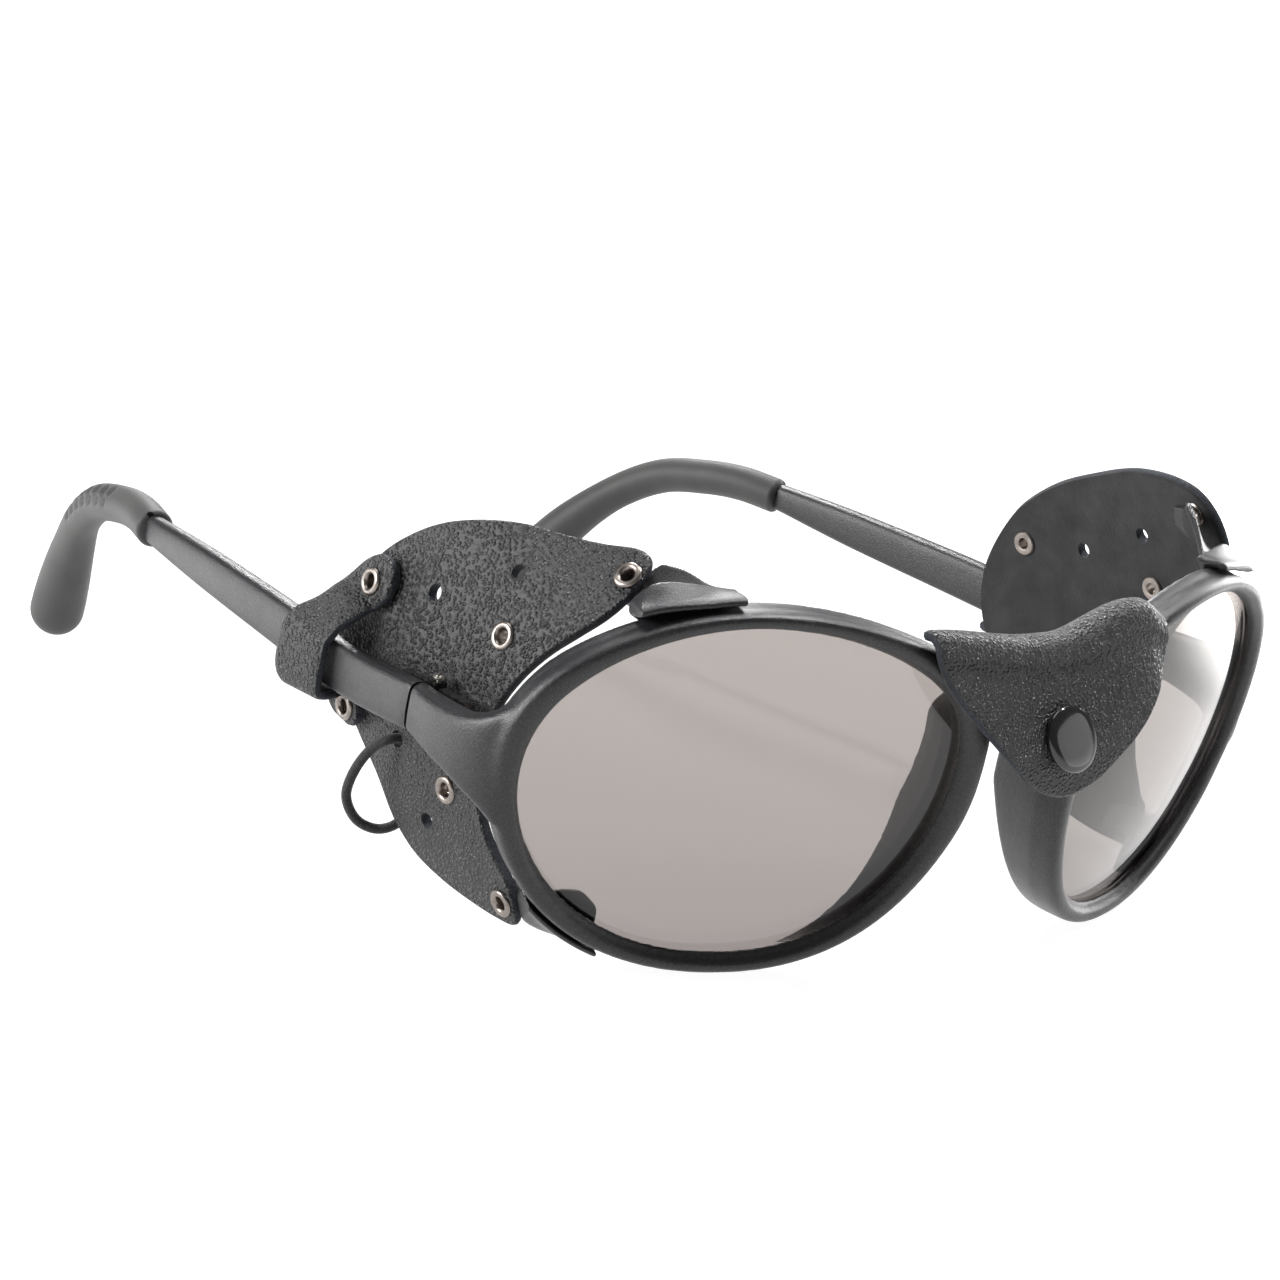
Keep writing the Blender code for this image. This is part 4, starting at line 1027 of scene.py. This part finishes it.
# --- nose cover and press stud ---
COVER_BOTTOM = ((0, 27.3), (5.3, 28.8), (9.1, 31.7), (13.3, 35.5), (17.3, 39.7), (19.4, 42.8),
                (20.6, 45.0))
COVER_HALF = COVER_BOTTOM[-1][0]
COVER_EDGE = np.array(spline([(-a, b) for a, b in reversed(COVER_BOTTOM[1:])]
                             + list(COVER_BOTTOM), 240)).T
FOLD_ROLL = 2.4                          # radius of the leather's fold
FOLD_Z, FOLD_FRONT_Y, FOLD_BACK_Y = 45.6, -9.6, -6.0
NECK_HALF = 11.0                         # half width of the tongue where it meets the fold


def cover_bottom(x):
    """Height of the front flap's lower edge at x, a smooth curve that is level at x = 0."""
    return np.interp(abs(x), *COVER_EDGE)


def cover_top(x):
    """Height of the fold above the bridge: a saddle that humps over the left rim."""
    if x < 0:
        return FOLD_Z + 1.3 * smooth(-x, 3, 19)
    return FOLD_Z + 3.6 * smooth(x, 1, 15) - 2.1 * smooth(x, 16, 21)


def cover_point(x, share):
    """A point on the front flap's middle, share 0 at the fold and 1 at the lower edge."""
    top, bottom = cover_top(x), cover_bottom(x)
    drop = share * (top - bottom)
    rolled = min(drop / FOLD_ROLL, 1)
    y = FOLD_FRONT_Y - FOLD_ROLL * (math.sqrt(1 - (1 - rolled) ** 2) - 0.5)
    y -= 4.6 * smooth(drop, FOLD_ROLL, 15) + 1.0 * (1 - (x / COVER_HALF) ** 2)
    return Vector((x, y, top - drop))


def snap_axis():
    """The press stud's middle on the front flap and the way that it faces."""
    top, bottom = cover_top(0), cover_bottom(0)
    share = (top - SNAP_Z) / (top - bottom)
    along = cover_point(0, share + 0.05) - cover_point(0, share - 0.05)
    return cover_point(0, share), along.cross(Vector((1, 0, 0))).normalized()


# the tongue behind the bridge, from the fold down: y, z and half width
BACK_WALL = ((-6.0, 44.4, 11.0), (-4.6, 43.4, 9.4), (-3.2, 42.0, 7.4), (-3.0, 40.6, 5.6),
             (-3.6, 38.6, 4.8), (-5.6, 37.0, 4.2), (-8.4, 36.6, 4.0))
COVER_COLUMNS = 61
TONGUE_ROWS = 50                         # rows of the tongue that belong to its own piece


def cover_normals(rows):
    """Outward normals of the nose cover's rows, which run from its tongue to its front."""
    normals = []
    for j, row in enumerate(rows):
        ways = []
        for i in range(len(row)):
            right = row[min(i + 1, len(row) - 1)] - row[max(i - 1, 0)]
            before, after = rows[max(j - 1, 0)][i], rows[min(j + 1, len(rows) - 1)][i]
            ways.append((after - before).cross(right).normalized())
        normals.append(ways)
    return normals


def cover_rows():
    """The leather's rows: up the tongue behind the bridge, over the fold, down in front."""
    middle, way = snap_axis()
    seat = middle - way * STUD_DEPTH
    down = Vector((1, 0, 0)).cross(way)
    tail = list(BACK_WALL)
    for drop, half_w in ((-3.0, 4.3), (0, 4.6), (2.6, 4.2), (4.4, 1.2)):
        point = seat + down * drop
        tail.append((point.y, point.z, half_w))
    spread = [2 * i / (COVER_COLUMNS - 1) - 1 for i in range(COVER_COLUMNS)]
    rows = [[Vector((half_w * a, y, z)) for a in spread]
            for y, z, half_w in reversed(spline(tail, 60))]
    for j in range(1, 16):
        angle = j / 16 * math.pi / 2
        half_w = NECK_HALF + (COVER_HALF - NECK_HALF) * smooth(j, 0, 13)
        row = []
        for a in spread:
            crest = cover_point(half_w * a, 0)
            y = crest.y + (FOLD_BACK_Y - crest.y) * math.cos(angle)
            row.append(Vector((crest.x, y, crest.z - FOLD_ROLL * (1 - math.sin(angle)) * 1.4)))
        rows.append(row)
    steps = 70
    for j in range(steps):
        share = (j / (steps - 1)) ** 1.25
        rows.append([cover_point(COVER_HALF * a, share) for a in spread])
    return rows


def nose_cover():
    """The tongue that carries the stud, and the flap that folds over the bridge."""
    rows = cover_rows()
    normals = cover_normals(rows)
    tongue = leather_sheet("nose_tongue", rows[:TONGUE_ROWS + 1], normals[:TONGUE_ROWS + 1])
    stands_for(tongue, "nose_cover_back", "frame")
    flap = leather_sheet("nose_leather", rows[TONGUE_ROWS:], normals[TONGUE_ROWS:])
    stands_for(flap, "nose_cover_flap")
    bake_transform(flap)


# profiles of the stud's parts: radius, and height above the leather or (negative) below it
CAP = ((0, -0.7), (0.9, -0.7), (0.9, 0.05), (CAP_R - 0.25, 0.05), (CAP_R - 0.05, 0.14),
       (CAP_R, 0.36), (CAP_R - 0.05, 0.62), (CAP_R - 0.22, 0.86), (CAP_R - 0.5, 1.0),
       (CAP_R * 0.75, 1.12), (CAP_R * 0.5, 1.2), (CAP_R * 0.25, 1.24), (0, 1.25))
SOCKET = ((1.2, -1.7), (2.2, -1.7), (2.4, -1.5), (2.4, -0.8), (2.2, -0.6), (1.2, -0.6))
STUD = ((0, -0.6), (0.6, -0.6), (0.6, 0.3), (2.1, 0.3), (2.2, 0.4), (2.2, 0.6), (1.1, 0.72),
        (1.0, 0.9), (0.8, 1.0), (0, 1.0))
POST = ((0.9, -0.8), (2.2, -0.8), (2.4, -0.6), (2.4, -0.3), (0.9, -0.3))


def press_stud():
    """The domed cap and its socket on the flap, the stud and its post on the tongue."""
    middle, way = snap_axis()
    seat = middle - way * STUD_DEPTH
    for name, points, at, look, slot, node, body, steps in (
            ("stud_cap", CAP, middle, LACQUER, "lacquer", "snap_cap", "nose_flap", 72),
            ("stud_socket", SOCKET, middle, STEEL, "steel", "snap_socket", "nose_flap", 40),
            ("stud_knob", STUD, seat, STEEL, "steel", "snap_stud", "frame", 40),
            ("stud_post", POST, seat, STEEL, "steel", "snap_post", "frame", 40)):
        profile = [(r, h + math.copysign(LEATHER / 2, h)) for r, h in points]
        stands_for(turned(name, profile, at, way, look, steps), node, body)


# --- studio ---
TABLE_GLOW = 0.95
# painted pools of light that glow on the table: x, y, radius in mm and how much glow they add
PAINTED_POOLS = ((250, 75, 118, 6.0), (-150, 215, 150, 3.6))
FLOOR_HALF, FLOOR_DROP = 12.0, 0.00005   # in metres
LIT_POINT = (0, 50, 25)
# the soft boxes, which face the lit point: place, width and height in mm, and watts
SOFT_BOXES = {"left_box": ((-720, 420, 300), 420, 360, 8),
              "top_box": ((-60, 330, 760), 420, 420, 2),
              "back_box": ((380, 620, 480), 160, 160, 4),
              "key_box": ((330, 60, 780), 80, 80, 5.5),
              "right_box": ((640, 215, 160), 280, 320, 2.8),
              "front_box": ((520, -500, 160), 420, 420, 0.6)}
# a height on the room's dome and its brightness there
HORIZON, SKY = (0.05, 1.0), (0.20, 0.13)


def soft_box(name, at, width, height, power):
    """A rectangular light at a point of the lenses' frame that faces the glasses."""
    data = bpy.data.lights.new(name, "AREA")
    data.shape = "RECTANGLE"
    data.size, data.size_y = width * MM, height * MM
    data.energy = power
    made = added(name, data)
    made.location = put(at)
    way = Vector(LIT_POINT) - Vector(at)
    made.rotation_euler = way.to_track_quat("-Z", "Y").to_euler()


def table_with_painted_pools():
    """The pale floor: a table that glows evenly, with a painted pool of light glowing to each side
    of the glasses.
    """
    white = Look("floor_white", (0.12, 0.12, 0.12), 0.7)
    white.set("Emission Color", (1, 1, 1, 1))
    total = None
    # painted light: each pool is glow added to the table's emission, not light from a lamp
    for x, y, radius, strength in PAINTED_POOLS:
        reach = new_node(white.tree, "VectorMath")
        reach.operation = "DISTANCE"
        white.link(white.where, reach.inputs[0])
        reach.inputs[1].default_value = put((x, y, 0))
        painted_pool = new_node(white.tree, "MapRange", From_Min=radius * MM,
                        From_Max=0.15 * radius * MM, To_Max=strength)
        painted_pool.interpolation_type = "SMOOTHSTEP"
        white.link(reach.outputs["Value"], painted_pool.inputs["Value"])
        add = new_node(white.tree, "Math")
        add.inputs[0].default_value = TABLE_GLOW
        if total:
            white.link(total, add.inputs[0])
        white.link(painted_pool.outputs[0], add.inputs[1])
        total = add.outputs[0]
    white.link(total, "Emission Strength")
    return white.material


def studio():
    """A room pale at its horizon and dim above, a glowing table with painted pools of light, and
    the soft boxes.
    """
    scene = bpy.context.scene
    scene.view_settings.view_transform = "Standard"
    world = bpy.data.worlds.new("dome")
    world.use_nodes = True
    tree = world.node_tree
    tree.nodes["Background"].inputs["Color"].default_value = (1, 1, 1, 1)
    way = new_node(tree, "SeparateXYZ")
    tree.links.new(new_node(tree, "TexCoord").outputs["Generated"], way.inputs[0])
    fall = new_node(tree, "MapRange", From_Min=HORIZON[0], To_Min=HORIZON[1],
                    From_Max=SKY[0], To_Max=SKY[1])
    tree.links.new(way.outputs["Z"], fall.inputs["Value"])
    tree.links.new(fall.outputs[0], tree.nodes["Background"].inputs["Strength"])
    scene.world = world
    mesh = bpy.data.meshes.new("floor")
    corners = [(a * FLOOR_HALF, b * FLOOR_HALF, 0) for a, b in ((-1, -1), (1, -1), (1, 1), (-1, 1))]
    mesh.from_pydata(corners, [], [(0, 1, 2, 3)])
    mesh.materials.append(table_with_painted_pools())
    floor = added("floor", mesh)
    floor.location.z = -FLOOR_DROP
    for name, facts in SOFT_BOXES.items():
        soft_box(name, *facts)


def main():
    """Every piece, then the room."""
    for side, word in SIDES:
        elastic_loop(side, word)
    front_frame()
    for side, word in SIDES:
        lens(side, word)
        temple(side, word)
        ear_sleeve(side, word)
        hinge(side, word)
        side_shield(side, word)
        temple_strap(side, word)
        for label in EYELETS:
            eyelet(side, word, label)
        clip(side, word, "upper", 1, UPPER_FIN)
        clip(side, word, "lower", -1, LOWER_FIN)
    nose_cover()
    press_stud()
    studio()


main()
